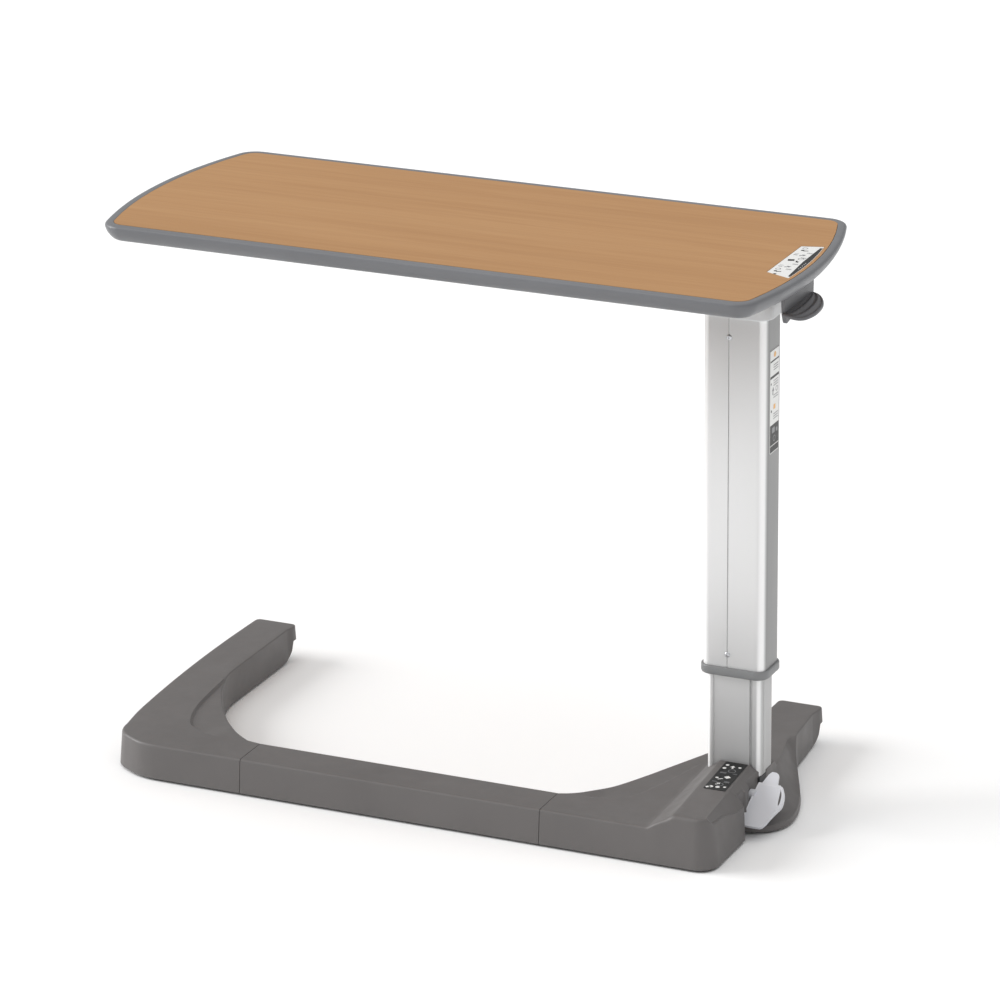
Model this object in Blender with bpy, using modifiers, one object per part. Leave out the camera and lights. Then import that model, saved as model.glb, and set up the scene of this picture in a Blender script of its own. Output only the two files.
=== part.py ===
"""Overbed table: gas-spring height-adjustable top on one column over a U-shaped rolling base.

Frame: floor at z = 0, origin under the middle of the outer box. +X runs along the top towards the
column side, +Y points to the open side of the base, +Z is up. Metres.
"""

import math

import bmesh
import bpy
from mathutils import Matrix, Vector

# ---- driving dimensions -------------------------------------------------------------------------
GAP = 0.0003                    # clearance kept between pieces that touch

TOP_HEIGHT = 0.720              # top surface above the floor, as modelled
TOP_LENGTH = 0.900
TOP_WIDTH = 0.375
TOP_Y = -0.013                  # centre line of top and column in Y
END_RADIUS = 0.600              # bowed ends of the top
END_CENTRE_Y = -0.038           # the bow's vertex lies a little in front of the centre line
CORNER_RADIUS = 0.030
RIM_WIDTH = 0.011               # visible width of the moulded edge
EDGE_DEPTH = 0.022
PANEL_THICK = 0.018

COLUMN_X = 0.348
OUTER_SIZE = (0.084, 0.056)
OUTER_RADIUS = 0.013
OUTER_WALL = 0.003
OUTER_BOTTOM = 0.1865
OUTER_TOP = 0.660
HEAD_BOTTOM = 0.649
INNER_SIZE = (0.072, 0.046)
INNER_RADIUS = 0.009
INNER_WALL = 0.003
INNER_BOTTOM = 0.0526
INNER_TOP = 0.470
COLLAR_TOP = 0.1952
COLLAR_BOTTOM = 0.1835
GROOVE_WIDTH = 0.0012
GROOVE_OFFSET = -0.006

BASE_FRONT = -0.229
BASE_BACK = 0.229
BAR_BACK = -0.166
BASE_BOTTOM = 0.0035
BASE_TOP = 0.048
LEDGE_TOP = 0.045               # sunken step in the two inner corners
BLOCK_TOP = 0.068
COVER_WALL = 0.003
SEAM_LEFT = -0.243
SEAM_RIGHT = 0.169
SKIRT_END = 0.214               # the arms' skirts end here, under the lip at the tip

LEG_BOTTOM = 0.0363
LEG_TOP = 0.0443
WHEEL_RADIUS = 0.015
WHEEL_WIDTH = 0.008
CASTER_TRAIL = 0.008
CASTERS = {
    "front_left": (-0.394, -0.186),
    "rear_left": (-0.4185, 0.184),
    "front_right": (0.362, -0.194),
    "rear_right": (0.3365, 0.184),
}

LEVER_PIVOT = (0.402, TOP_Y, 0.690)
PEDAL_PIVOT = (0.388, -0.062, 0.040)
RECESS_X = 0.3785               # wall of the block beside the pedal
RECESS_START = -0.116
RECESS_END = -0.040
PEDAL_TILT = math.radians(26)

COLOURS = {
    "wood": ((0.55, 0.33, 0.15), 0.45, 0.0),
    "edge_grey": ((0.22, 0.23, 0.24), 0.5, 0.0),
    "base_grey": ((0.16, 0.155, 0.15), 0.55, 0.0),
    "lever_grey": ((0.10, 0.10, 0.11), 0.5, 0.0),
    "collar_grey": ((0.30, 0.30, 0.31), 0.5, 0.0),
    "head_silver": ((0.72, 0.73, 0.74), 0.4, 0.2),
    "aluminium": ((0.70, 0.70, 0.71), 0.35, 1.0),
    "steel": ((0.45, 0.46, 0.48), 0.35, 1.0),
    "painted_steel": ((0.06, 0.06, 0.065), 0.5, 0.2),
    "pedal_grey": ((0.55, 0.56, 0.58), 0.45, 0.0),
    "white_label": ((0.85, 0.85, 0.84), 0.4, 0.0),
    "black_label": ((0.02, 0.02, 0.022), 0.4, 0.0),
    "nylon": ((0.03, 0.03, 0.032), 0.5, 0.0),
    "tread": ((0.20, 0.20, 0.21), 0.7, 0.0),
}


# ---- scene and helpers --------------------------------------------------------------------------
def clear_scene():
    for obj in list(bpy.data.objects):
        bpy.data.objects.remove(obj, do_unlink=True)


def new_collection(name):
    collection = bpy.data.collections.new(name)
    bpy.context.scene.collection.children.link(collection)
    return collection


def make_material(name):
    colour, roughness, metallic = COLOURS[name]
    material = bpy.data.materials.new(name)
    material.use_nodes = True
    shader = material.node_tree.nodes["Principled BSDF"]
    shader.inputs["Base Color"].default_value = (*colour, 1.0)
    shader.inputs["Roughness"].default_value = roughness
    shader.inputs["Metallic"].default_value = metallic
    material.diffuse_color = (*colour, 1.0)
    return material


def material_of(name):
    return bpy.data.materials.get(name) or make_material(name)


def put(name, bm, material, at=(0.0, 0.0, 0.0), sharp=35.0, collection="overbed_table"):
    """Turn a bmesh, built around its own origin, into a named object at a place."""
    bmesh.ops.recalc_face_normals(bm, faces=bm.faces)
    mesh = bpy.data.meshes.new(name)
    bm.to_mesh(mesh)
    bm.free()
    mesh.shade_smooth()
    mesh.set_sharp_from_angle(angle=math.radians(sharp))
    mesh.materials.append(material_of(material))
    obj = bpy.data.objects.new(name, mesh)
    obj.location = at
    bpy.data.collections[collection].objects.link(obj)
    return obj


def cutter(bm, at=(0.0, 0.0, 0.0)):
    obj = put("cutter", bm, "nylon", at, collection="cutters")
    obj.hide_render = True
    obj.display_type = "WIRE"
    return obj


def combine(obj, tool, operation="DIFFERENCE"):
    modifier = obj.modifiers.new(operation.lower(), "BOOLEAN")
    modifier.operation = operation
    modifier.object = tool
    modifier.solver = "EXACT"


def bevel(obj, width, segments=2, angle=40.0):
    modifier = obj.modifiers.new("bevel", "BEVEL")
    modifier.width = width
    modifier.segments = segments
    modifier.limit_method = "ANGLE"
    modifier.angle_limit = math.radians(angle)


def box_mesh(size, centre=(0.0, 0.0, 0.0)):
    bm = bmesh.new()
    bmesh.ops.create_cube(bm, size=1.0, matrix=Matrix.Translation(centre) @ Matrix.Diagonal((*size, 1.0)))
    return bm


def span_box(low, high):
    """A box given by its lowest and highest corners."""
    size = [b - a for a, b in zip(low, high)]
    centre = [(a + b) / 2 for a, b in zip(low, high)]
    return box_mesh(size, centre)


def rod_mesh(radius, start, end, axis="Z", segments=24, radius_end=None):
    """A cylinder or cone along one axis, from start to end on that axis."""
    turn = {
        "X": Matrix.Rotation(math.pi / 2, 4, "Y"),
        "Y": Matrix.Rotation(-math.pi / 2, 4, "X"),
        "Z": Matrix.Identity(4),
    }[axis]
    place = turn @ Matrix.Translation((0, 0, (start + end) / 2))
    top = radius if radius_end is None else radius_end
    bm = bmesh.new()
    bmesh.ops.create_cone(
        bm, cap_ends=True, segments=segments, radius1=radius, radius2=top, depth=end - start, matrix=place
    )
    return bm


def loft(rings):
    """A closed solid through rings of equal point count, capped at both ends."""
    bm = bmesh.new()
    loops = [[bm.verts.new(point) for point in ring] for ring in rings]
    count = len(loops[0])
    for below, above in zip(loops, loops[1:]):
        for i in range(count):
            j = (i + 1) % count
            bm.faces.new((below[i], below[j], above[j], above[i]))
    bm.faces.new(loops[0])
    bm.faces.new(loops[-1])
    return bm


def prism(outline, low, high):
    """An outline in XY, extruded from low to high in Z."""
    return loft([[(x, y, low) for x, y in outline], [(x, y, high) for x, y in outline]])


def side_prism(profile, left, right):
    """A profile in YZ, extruded from left to right in X."""
    return loft([[(left, y, z) for y, z in profile], [(right, y, z) for y, z in profile]])


def arc(centre, radius, start, end, steps):
    """Points on a circle from one angle to another, in degrees."""
    angles = [math.radians(start + (end - start) * i / steps) for i in range(steps + 1)]
    return [(centre[0] + radius * math.cos(a), centre[1] + radius * math.sin(a)) for a in angles]


def arc_through(first, middle, last, steps):
    """Points on the circle through three points, from the first to the last."""
    (ax, ay), (bx, by), (cx, cy) = first, middle, last
    d = 2 * (ax * (by - cy) + bx * (cy - ay) + cx * (ay - by))
    a2, b2, c2 = ax * ax + ay * ay, bx * bx + by * by, cx * cx + cy * cy
    ux = (a2 * (by - cy) + b2 * (cy - ay) + c2 * (ay - by)) / d
    uy = (a2 * (cx - bx) + b2 * (ax - cx) + c2 * (bx - ax)) / d
    start = math.atan2(ay - uy, ax - ux)
    sweep = (math.atan2(cy - uy, cx - ux) - start + math.pi) % (2 * math.pi) - math.pi
    radius = math.hypot(ax - ux, ay - uy)
    turns = [start + sweep * i / steps for i in range(steps + 1)]
    return [(ux + radius * math.cos(t), uy + radius * math.sin(t)) for t in turns]


def rounded(size, radius, centre=(0.0, 0.0), steps=5):
    """A rectangle with round corners, counter-clockwise."""
    hx, hy = size[0] / 2 - radius, size[1] / 2 - radius
    points = []
    for sx, sy, start in ((1, -1, -90), (1, 1, 0), (-1, 1, 90), (-1, -1, 180)):
        points += arc((centre[0] + sx * hx, centre[1] + sy * hy), radius, start, start + 90, steps)
    return points


def rounded_corners(points, radii, steps=4):
    """A polygon with each corner replaced by an arc of its own radius."""
    outline = []
    for i, (point, radius) in enumerate(zip(points, radii)):
        here = Vector(point)
        if radius == 0:
            outline.append(point)
            continue
        back = (Vector(points[i - 1]) - here).normalized()
        ahead = (Vector(points[(i + 1) % len(points)]) - here).normalized()
        half = back.angle(ahead) / 2
        centre = here + (back + ahead).normalized() * (radius / math.sin(half))
        first = here + back * (radius / math.tan(half))
        last = here + ahead * (radius / math.tan(half))
        middle = centre + (here - centre).normalized() * radius
        outline += arc_through(first, middle, last, steps)
    return outline


def inset(outline, distance):
    """The outline moved inwards along its normals."""
    area = sum(a[0] * b[1] - b[0] * a[1] for a, b in zip(outline, outline[1:] + outline[:1]))
    side = 1 if area > 0 else -1
    moved = []
    for i, point in enumerate(outline):
        here = Vector(point)
        before = (here - Vector(outline[i - 1])).normalized()
        after = (Vector(outline[(i + 1) % len(outline)]) - here).normalized()
        n1 = Vector((-before.y, before.x)) * side
        n2 = Vector((-after.y, after.x)) * side
        normal = (n1 + n2).normalized()
        moved.append(tuple(here + normal * distance / max(normal.dot(n1), 0.5)))
    return moved


# ---- the top ------------------------------------------------------------------------------------
def end_x(y, inward=0.0):
    """Distance of the bowed end from the middle of the top, at one y."""
    radius = END_RADIUS - inward
    centre_x = TOP_LENGTH / 2 - END_RADIUS
    return centre_x + math.sqrt(radius**2 - (y - END_CENTRE_Y) ** 2)


def corner_arc(side, inward, steps=6):
    """The round corner between a long side (side = +1 back, -1 front) and the right end."""
    y_side = TOP_Y + side * TOP_WIDTH / 2
    centre_y = y_side - side * CORNER_RADIUS
    bow = Vector((TOP_LENGTH / 2 - END_RADIUS, END_CENTRE_Y))
    reach = END_RADIUS - CORNER_RADIUS
    centre = Vector((bow.x + math.sqrt(reach**2 - (centre_y - bow.y) ** 2), centre_y))
    slope = math.degrees(math.atan2(centre.y - bow.y, centre.x - bow.x))
    start, end = (slope, 90.0) if side > 0 else (-90.0, slope)
    return arc(centre, CORNER_RADIUS - inward, start, end, steps)


def top_outline(inward=0.0):
    """Outline of the top, counter-clockwise, a distance inside its rim."""
    front, back = corner_arc(-1, inward), corner_arc(1, inward)
    ys = [front[-1][1] + (back[0][1] - front[-1][1]) * i / 10 for i in range(1, 10)]
    right = front + [(end_x(y, inward), y) for y in ys] + back
    left = [(-x, y) for x, y in reversed(right)]
    return right + left


def label_outline(margin, extra):
    """Plan of the instruction sticker by the right end: one side follows the bow."""
    ys = [-0.080 - extra + (0.135 + 2 * extra) * i / 8 for i in range(9)]
    inner = [(0.400 - extra, 0.047 + extra), (0.400 - extra, -0.066 - extra)]
    return [(end_x(y, margin), y) for y in ys] + inner


def make_top():
    board = prism(top_outline(RIM_WIDTH + GAP), TOP_HEIGHT - PANEL_THICK, TOP_HEIGHT)
    panel = put("tabletop_panel", board, "wood")
    combine(panel, cutter(prism(label_outline(RIM_WIDTH + 0.0045, 0.0005), TOP_HEIGHT - 0.0010, 0.730)))

    seat = PANEL_THICK + GAP
    profile = [
        (RIM_WIDTH, 0.0004), (0.0085, 0.0), (0.0030, 0.0), (0.0008, 0.0012), (0.0, 0.0035),
        (0.0025, 0.010), (0.0065, 0.016), (0.0105, 0.0202), (0.0150, EDGE_DEPTH),
        (0.0240, EDGE_DEPTH), (0.0240, seat), (RIM_WIDTH, seat),
    ]
    rings = [[(x, y, TOP_HEIGHT - drop) for x, y in top_outline(inward)] for inward, drop in profile]
    bm = bmesh.new()
    loops = [[bm.verts.new(point) for point in ring] for ring in rings]
    for loop, following in zip(loops, loops[1:] + loops[:1]):
        for i in range(len(loop)):
            j = (i + 1) % len(loop)
            bm.faces.new((loop[i], loop[j], following[j], following[i]))
    put("tabletop_edge", bm, "edge_grey")

    label = prism(label_outline(RIM_WIDTH + 0.005, 0.0), TOP_HEIGHT - 0.0007, TOP_HEIGHT - 0.0001)
    put("tabletop_label", label, "white_label")


def make_support():
    """Rails and mounting plate under the panel."""
    under = TOP_HEIGHT - PANEL_THICK - GAP
    rail_half, rail_drop = 0.0125, 0.012
    for name, y in (("front_support_rail", TOP_Y - 0.100), ("rear_support_rail", TOP_Y + 0.100)):
        low = (-0.330, y - rail_half, under - rail_drop)
        rail = put(name, span_box(low, (0.400, y + rail_half, under)), "painted_steel")
        channel = cutter(span_box((-0.34, y - 0.010, under - 0.013), (0.41, y + 0.010, under - 0.0025)))
        combine(rail, channel)

    half = 0.0872
    plate = put("mount_plate", span_box((0.250, TOP_Y - half, under - 0.005), (0.386, TOP_Y + half, under)),
                "painted_steel")
    for x, y in head_bolt_places():
        combine(plate, cutter(rod_mesh(0.0033, under - 0.006, under + 0.001, segments=12), (x, y, 0)))
        combine(plate, cutter(rod_mesh(0.0053, under - 0.0023, under + 0.001, segments=12), (x, y, 0)))


def head_bolt_places():
    return [(COLUMN_X + sx * 0.031, TOP_Y + sy * 0.0175) for sx in (-1, 1) for sy in (-1, 1)]


# ---- the column ---------------------------------------------------------------------------------
def shrink(size, wall):
    return size[0] - 2 * wall, size[1] - 2 * wall


def make_outer_column():
    at = (COLUMN_X, TOP_Y, 0.0)
    outer = rounded(OUTER_SIZE, OUTER_RADIUS)
    column = put("outer_column", prism(outer, OUTER_BOTTOM, OUTER_TOP), "aluminium", at)
    bore = rounded(shrink(OUTER_SIZE, OUTER_WALL), OUTER_RADIUS - OUTER_WALL)
    combine(column, cutter(prism(bore, OUTER_BOTTOM - 0.01, OUTER_TOP + 0.01), at))
    face = -OUTER_SIZE[1] / 2
    low = (GROOVE_OFFSET - GROOVE_WIDTH / 2, face - 0.001, OUTER_BOTTOM - 0.01)
    high = (GROOVE_OFFSET + GROOVE_WIDTH / 2, face + 0.0008, OUTER_TOP + 0.01)
    combine(column, cutter(span_box(low, high), at))
    for name, z in (("upper_column_screw", 0.623), ("lower_column_screw", 0.212)):
        place = (COLUMN_X + GROOVE_OFFSET, TOP_Y + face, z)
        hole = rod_mesh(0.0045, -0.0005, 0.004, "Y", 16, 0.0023)
        combine(column, cutter(hole, place))
        screw = put(name, rod_mesh(0.0040, 0.0, 0.0026, "Y", 16, 0.0024), "steel", place)
        combine(screw, cutter(span_box((-0.0025, -0.001, -0.0004), (0.0025, 0.0008, 0.0004)), place))
        combine(screw, cutter(span_box((-0.0004, -0.001, -0.0025), (0.0004, 0.0008, 0.0025)), place))

    collar_outer = rounded((0.090, 0.062), 0.016)
    collar = put("column_collar", prism(collar_outer, COLLAR_BOTTOM, COLLAR_TOP), "collar_grey", at)
    bevel(collar, 0.0015, angle=60.0)
    hug = rounded((OUTER_SIZE[0] + 2 * GAP, OUTER_SIZE[1] + 2 * GAP), OUTER_RADIUS + GAP)
    combine(collar, cutter(prism(hug, OUTER_BOTTOM - GAP, COLLAR_TOP + 0.01), at))
    mouth = rounded((INNER_SIZE[0] + 0.002, INNER_SIZE[1] + 0.002), INNER_RADIUS + 0.001)
    combine(collar, cutter(prism(mouth, COLLAR_BOTTOM - 0.01, OUTER_BOTTOM), at))

    tight = shrink(OUTER_SIZE, OUTER_WALL + GAP)
    bush = put("lower_guide_bush", prism(rounded(tight, 0.0097), OUTER_BOTTOM + GAP, 0.222), "nylon", at)
    slot = rounded((INNER_SIZE[0] + 2 * GAP, INNER_SIZE[1] + 2 * GAP), INNER_RADIUS + GAP)
    combine(bush, cutter(prism(slot, 0.180, 0.230), at))

    side = COLUMN_X + OUTER_SIZE[0] / 2 + GAP
    strip = span_box((0.0, -0.0145, 0.475), (GAP, 0.0145, 0.607))
    put("column_label", strip, "white_label", (side, TOP_Y, 0.0))


def make_head():
    at = (COLUMN_X, TOP_Y, 0.0)
    plate_bottom = TOP_HEIGHT - PANEL_THICK - GAP - 0.005
    plug = rounded(shrink(OUTER_SIZE, OUTER_WALL + GAP), 0.0097)
    bracket = put("head_bracket", prism(plug, 0.630, plate_bottom - GAP), "aluminium", at)
    combine(bracket, cutter(rod_mesh(0.0053, 0.620, 0.660), at))
    combine(bracket, cutter(span_box((-0.014, -0.0145, 0.6553), (0.060, 0.0145, 0.710)), at))
    for number, (x, y) in enumerate(head_bolt_places(), start=1):
        combine(bracket, cutter(rod_mesh(0.0033, 0.672, 0.710, segments=12), (x, y, 0)))
        shank = rod_mesh(0.0030, 0.675, plate_bottom + 0.0035, segments=12)
        bolt = put(f"head_bolt_{number}", shank, "steel", (x, y, 0))
        head = rod_mesh(0.0050, plate_bottom + 0.0030, plate_bottom + 0.0048, segments=12)
        combine(bolt, cutter(head, (x, y, 0)), "UNION")

    shroud = prism(rounded((0.094, 0.066), 0.017), HEAD_BOTTOM, plate_bottom - GAP)
    cover = put("head_cover", shroud, "head_silver", at)
    bevel(cover, 0.0015, angle=60.0)
    combine(cover, cutter(prism(rounded((0.0866, 0.0586), 0.0143), 0.630, 0.710), at))
    combine(cover, cutter(span_box((0.030, -0.0145, 0.668), (0.060, 0.0145, 0.710)), at))


def make_inner_column():
    at = (COLUMN_X, TOP_Y, 0.0)
    tube = prism(rounded(INNER_SIZE, INNER_RADIUS), INNER_BOTTOM, INNER_TOP)
    column = put("inner_column", tube, "aluminium", at)
    bore = rounded(shrink(INNER_SIZE, INNER_WALL), INNER_RADIUS - INNER_WALL)
    combine(column, cutter(prism(bore, INNER_BOTTOM - 0.01, INNER_TOP + 0.01), at))
    face = -INNER_SIZE[1] / 2
    low = (-INNER_SIZE[0] / 2 + 0.004, face - 0.001, INNER_BOTTOM - 0.01)
    combine(column, cutter(span_box(low, (0.0265, face + 0.0012, INNER_TOP + 0.01)), at))
    side = INNER_SIZE[0] / 2
    low = (side - 0.0012, -0.0125, INNER_BOTTOM - 0.01)
    combine(column, cutter(span_box(low, (side + 0.001, -0.0105, INNER_TOP + 0.01)), at))

    tight = shrink(OUTER_SIZE, OUTER_WALL + GAP)
    cap = put("upper_guide_cap", prism(rounded(tight, 0.0097), INNER_TOP + GAP, 0.482), "nylon", at)
    combine(cap, cutter(rod_mesh(0.0145, 0.460, 0.490, segments=32), at))


def make_gas_spring():
    at = (COLUMN_X, TOP_Y, 0.0)
    cylinder = put("gas_spring_cylinder", rod_mesh(0.014, 0.0526, 0.515, segments=32), "painted_steel", at)
    combine(cylinder, cutter(rod_mesh(0.011, 0.060, 0.520, segments=32), at))
    cap = put("gas_spring_end_cap", rod_mesh(0.0107, 0.500, 0.5145, segments=32), "nylon", at)
    combine(cap, cutter(rod_mesh(0.0053, 0.490, 0.520), at))
    put("gas_spring_piston", rod_mesh(0.0106, 0.344, 0.356, segments=32), "nylon", at)
    rod = put("gas_spring_rod", rod_mesh(0.0050, 0.356 + GAP, 0.655), "steel", at)
    combine(rod, cutter(rod_mesh(0.0023, 0.622, 0.660, segments=16), at))
    put("release_pin", rod_mesh(0.0020, 0.6295, 0.679, segments=16), "steel", at)


def make_lever():
    """Bracket, pin and squeeze lever. The lever's arm reaches in over the release pin."""
    px, py, pz = LEVER_PIVOT
    under = TOP_HEIGHT - PANEL_THICK - GAP
    hanger = span_box((0.3955, py - 0.0175, 0.684), (0.412, py + 0.0175, under))
    bracket = put("lever_bracket", hanger, "painted_steel")
    combine(bracket, cutter(span_box((0.380, py - 0.0150, 0.680), (0.420, py + 0.0150, under - 0.002))))
    combine(bracket, cutter(rod_mesh(0.0028, -0.030, 0.030, "Y", 16), LEVER_PIVOT))
    put("lever_pivot_pin", rod_mesh(0.0025, -0.019, 0.019, "Y", 16), "steel", LEVER_PIVOT)

    corners = [(-0.050, 0.0), (-0.044, -0.034), (-0.034, -0.039), (0.046, -0.024), (0.050, 0.0)]
    plate = rounded_corners(corners, [0.0, 0.003, 0.004, 0.006, 0.0])
    plate_x = 0.416 - px
    lever = put("release_lever", side_prism(plate, plate_x, plate_x + 0.005), "lever_grey", LEVER_PIVOT)
    wing_root = plate_x + 0.003
    rim = arc_through((wing_root, -0.036), (0.4485 - px, -0.004), (wing_root, 0.048), 12)
    wing = loft([[(x, y, -0.022 - 0.30 * (x - wing_root)) for x, y in rim],
                 [(x, y, -0.026 - 0.30 * (x - wing_root)) for x, y in rim]])
    combine(lever, cutter(wing, LEVER_PIVOT), "UNION")
    arm = span_box((-0.062, -0.010, -0.0106), (plate_x + 0.002, 0.010, -0.0060))
    combine(lever, cutter(arm, LEVER_PIVOT), "UNION")
    combine(lever, cutter(rod_mesh(0.0065, -0.012, 0.012, "Y", 20), LEVER_PIVOT), "UNION")
    combine(lever, cutter(rod_mesh(0.0028, -0.020, 0.020, "Y", 16), LEVER_PIVOT))


# ---- the base -----------------------------------------------------------------------------------
def tip_notch():
    """What is missing under the lip at an arm's tip, as a profile in YZ."""
    start = SKIRT_END - 0.022
    corner = arc((start, BASE_BOTTOM + 0.021), 0.022, -90, 0, 4)
    beyond = BASE_BACK + 0.03
    return [(start, -0.01), *corner, (SKIRT_END, 0.0285), (beyond, 0.0285), (beyond, -0.01)]


def left_outline(ledge):
    """Plan of the left cover, counter-clockwise. The ledge's plan also fills the inner corner."""
    outer = arc_through((-0.447, 0.221), (-0.4495, 0.085), (-0.4353, -0.170), 8)
    front = [(-0.4345, -0.182), (-0.4315, -0.1925), (-0.4262, -0.2010), (-0.4190, -0.2080), (-0.4090, -0.2145)]
    front += [(-0.3985, -0.2205), (-0.3860, -0.2255), (-0.3700, -0.2283), (-0.3500, BASE_FRONT)]
    seam = [(SEAM_LEFT - GAP, BASE_FRONT), (SEAM_LEFT - GAP, BAR_BACK)]
    if ledge:
        inner = arc_through((-0.250, BAR_BACK), (-0.324, -0.107), (-0.388, 0.030), 10)
    else:
        inner = arc_through((-0.310, BAR_BACK), (-0.3635, -0.128), (-0.388, 0.012), 10)
    tip = [(-0.388, BASE_BACK - 0.006), (-0.394, BASE_BACK), (-0.440, BASE_BACK)]
    return outer + front + seam + inner + tip


def right_outline(ledge):
    """Plan of the right cover at the bar's height, counter-clockwise."""
    seam = [(SEAM_RIGHT + GAP, BAR_BACK), (SEAM_RIGHT + GAP, BASE_FRONT)]
    front = arc((0.372, -0.203), 0.026, -90, 0, 5)
    side = [(0.398, RECESS_START - 0.002), (RECESS_X, RECESS_START), (RECESS_X, RECESS_END - 0.004)]
    side += [(0.390, RECESS_END), (0.390, 0.016)]
    side += [(0.367, 0.050)]
    tip = [(0.367, BASE_BACK - 0.010), (0.357, BASE_BACK), (0.312, BASE_BACK), (0.306, BASE_BACK - 0.006)]
    if ledge:
        inner = arc_through((0.306, 0.100), (0.246, -0.063), (0.188, BAR_BACK), 8)
    else:
        inner = arc_through((0.306, -0.006), (0.262, -0.092), (0.204, BAR_BACK), 8)
    return seam[1:] + front + side + tip + inner + seam[:1]


def block_outline(top):
    """Plan of the raised block that the column stands in: its sides lean in towards the top."""
    lean = 1.0 if top else 0.0
    front_y = BASE_FRONT + 0.010 * lean
    left_x = 0.312 + 0.024 * lean
    right_x = 0.398 - 0.010 * lean
    rear = [(RECESS_X, RECESS_START), (RECESS_X, RECESS_END - 0.004), (0.390, RECESS_END), (0.390, 0.016)]
    rear += [(0.306, 0.016), (0.306, -0.042)]
    front = [(left_x, front_y), (0.374, front_y)]
    side = [(right_x, BASE_FRONT + 0.024), (right_x, RECESS_START - 0.002)]
    return front + side + rear + [(left_x - 0.002, -0.064)]


def clipped(outline, high_x=1.0, low_x=-1.0, high_y=1.0):
    """The outline with everything past the limits pressed onto them."""
    return [(min(max(x, low_x), high_x), min(y, high_y)) for x, y in outline]


def make_left_cover():
    cover = put("left_base_cover", prism(left_outline(True), BASE_BOTTOM, LEDGE_TOP), "base_grey")
    combine(cover, cutter(prism(left_outline(False), BASE_BOTTOM, BASE_TOP)), "UNION")
    combine(cover, cutter(side_prism(tip_notch(), -0.50, -0.35)))
    inside = clipped(inset(left_outline(True), COVER_WALL), high_x=-0.2, high_y=SKIRT_END - COVER_WALL)
    inside = [(x + 0.02 if x > SEAM_LEFT - 0.005 else x, y) for x, y in inside]
    combine(cover, cutter(prism(inside, BASE_BOTTOM - 0.01, BASE_TOP - 2 * COVER_WALL)))


def make_centre_cover():
    low = (SEAM_LEFT + GAP, BASE_FRONT, BASE_BOTTOM)
    cover = put("centre_base_cover", span_box(low, (SEAM_RIGHT - GAP, BAR_BACK, BASE_TOP)), "base_grey")
    low = (SEAM_LEFT - 0.01, BASE_FRONT + COVER_WALL, BASE_BOTTOM - 0.01)
    combine(cover, cutter(span_box(low, (SEAM_RIGHT + 0.01, BAR_BACK - COVER_WALL, BASE_TOP - COVER_WALL))))


def make_right_cover():
    cover = put("right_base_cover", prism(right_outline(True), BASE_BOTTOM, LEDGE_TOP), "base_grey")
    combine(cover, cutter(prism(right_outline(False), BASE_BOTTOM, BASE_TOP)), "UNION")
    block = [[(x, y, BASE_TOP - 0.004) for x, y in inset(block_outline(False), 0.0004)],
             [(x, y, BLOCK_TOP) for x, y in inset(block_outline(True), 0.0004)]]
    combine(cover, cutter(loft(block)), "UNION")
    toe_start = RECESS_START - 0.001
    plan = [(0.360, 0.135), (0.360, toe_start), (0.398, toe_start - 0.0002), (0.414, -0.085)]
    plan += [(0.427, -0.055), (0.430, -0.025), (0.424, 0.005), (0.411, 0.035), (0.390, 0.080)]
    plan += [(0.374, 0.115), (0.366, 0.135)]
    slope = [(0.140, 0.0065), (0.140, 0.0475), (0.105, 0.045), (0.060, 0.035), (0.020, 0.020)]
    slope += [(-0.015, 0.011), (-0.125, 0.011), (-0.125, 0.0065)]
    toe = cutter(prism(plan, 0.0, 0.060))
    combine(toe, cutter(side_prism(slope, 0.350, 0.440)), "INTERSECT")
    combine(cover, toe, "UNION")
    combine(cover, cutter(side_prism(tip_notch(), 0.29, 0.38)))
    inside = clipped(inset(right_outline(True), COVER_WALL), high_y=SKIRT_END - COVER_WALL)
    inside = [(x - 0.02 if x < SEAM_RIGHT + 0.005 else x, y) for x, y in inside]
    combine(cover, cutter(prism(inside, BASE_BOTTOM - 0.01, BASE_TOP - 2 * COVER_WALL)))
    attic = [[(x, y, 0.040) for x, y in inset(block_outline(False), COVER_WALL + 0.001)],
             [(x, y, BLOCK_TOP - COVER_WALL) for x, y in inset(block_outline(True), COVER_WALL + 0.001)]]
    combine(cover, cutter(loft(attic)))
    hole = rounded((INNER_SIZE[0] + 0.002, INNER_SIZE[1] + 0.002), INNER_RADIUS + 0.001)
    combine(cover, cutter(prism(hole, 0.050, 0.080), (COLUMN_X, TOP_Y, 0.0)))
    combine(cover, cutter(rod_mesh(0.0048, 0.350, 0.384, "X", 16), (0.0, PEDAL_PIVOT[1], PEDAL_PIVOT[2])))
    label = span_box((0.343, -0.128, BLOCK_TOP + GAP), (0.372, -0.046, BLOCK_TOP + 2 * GAP))
    put("base_label", label, "black_label")


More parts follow.
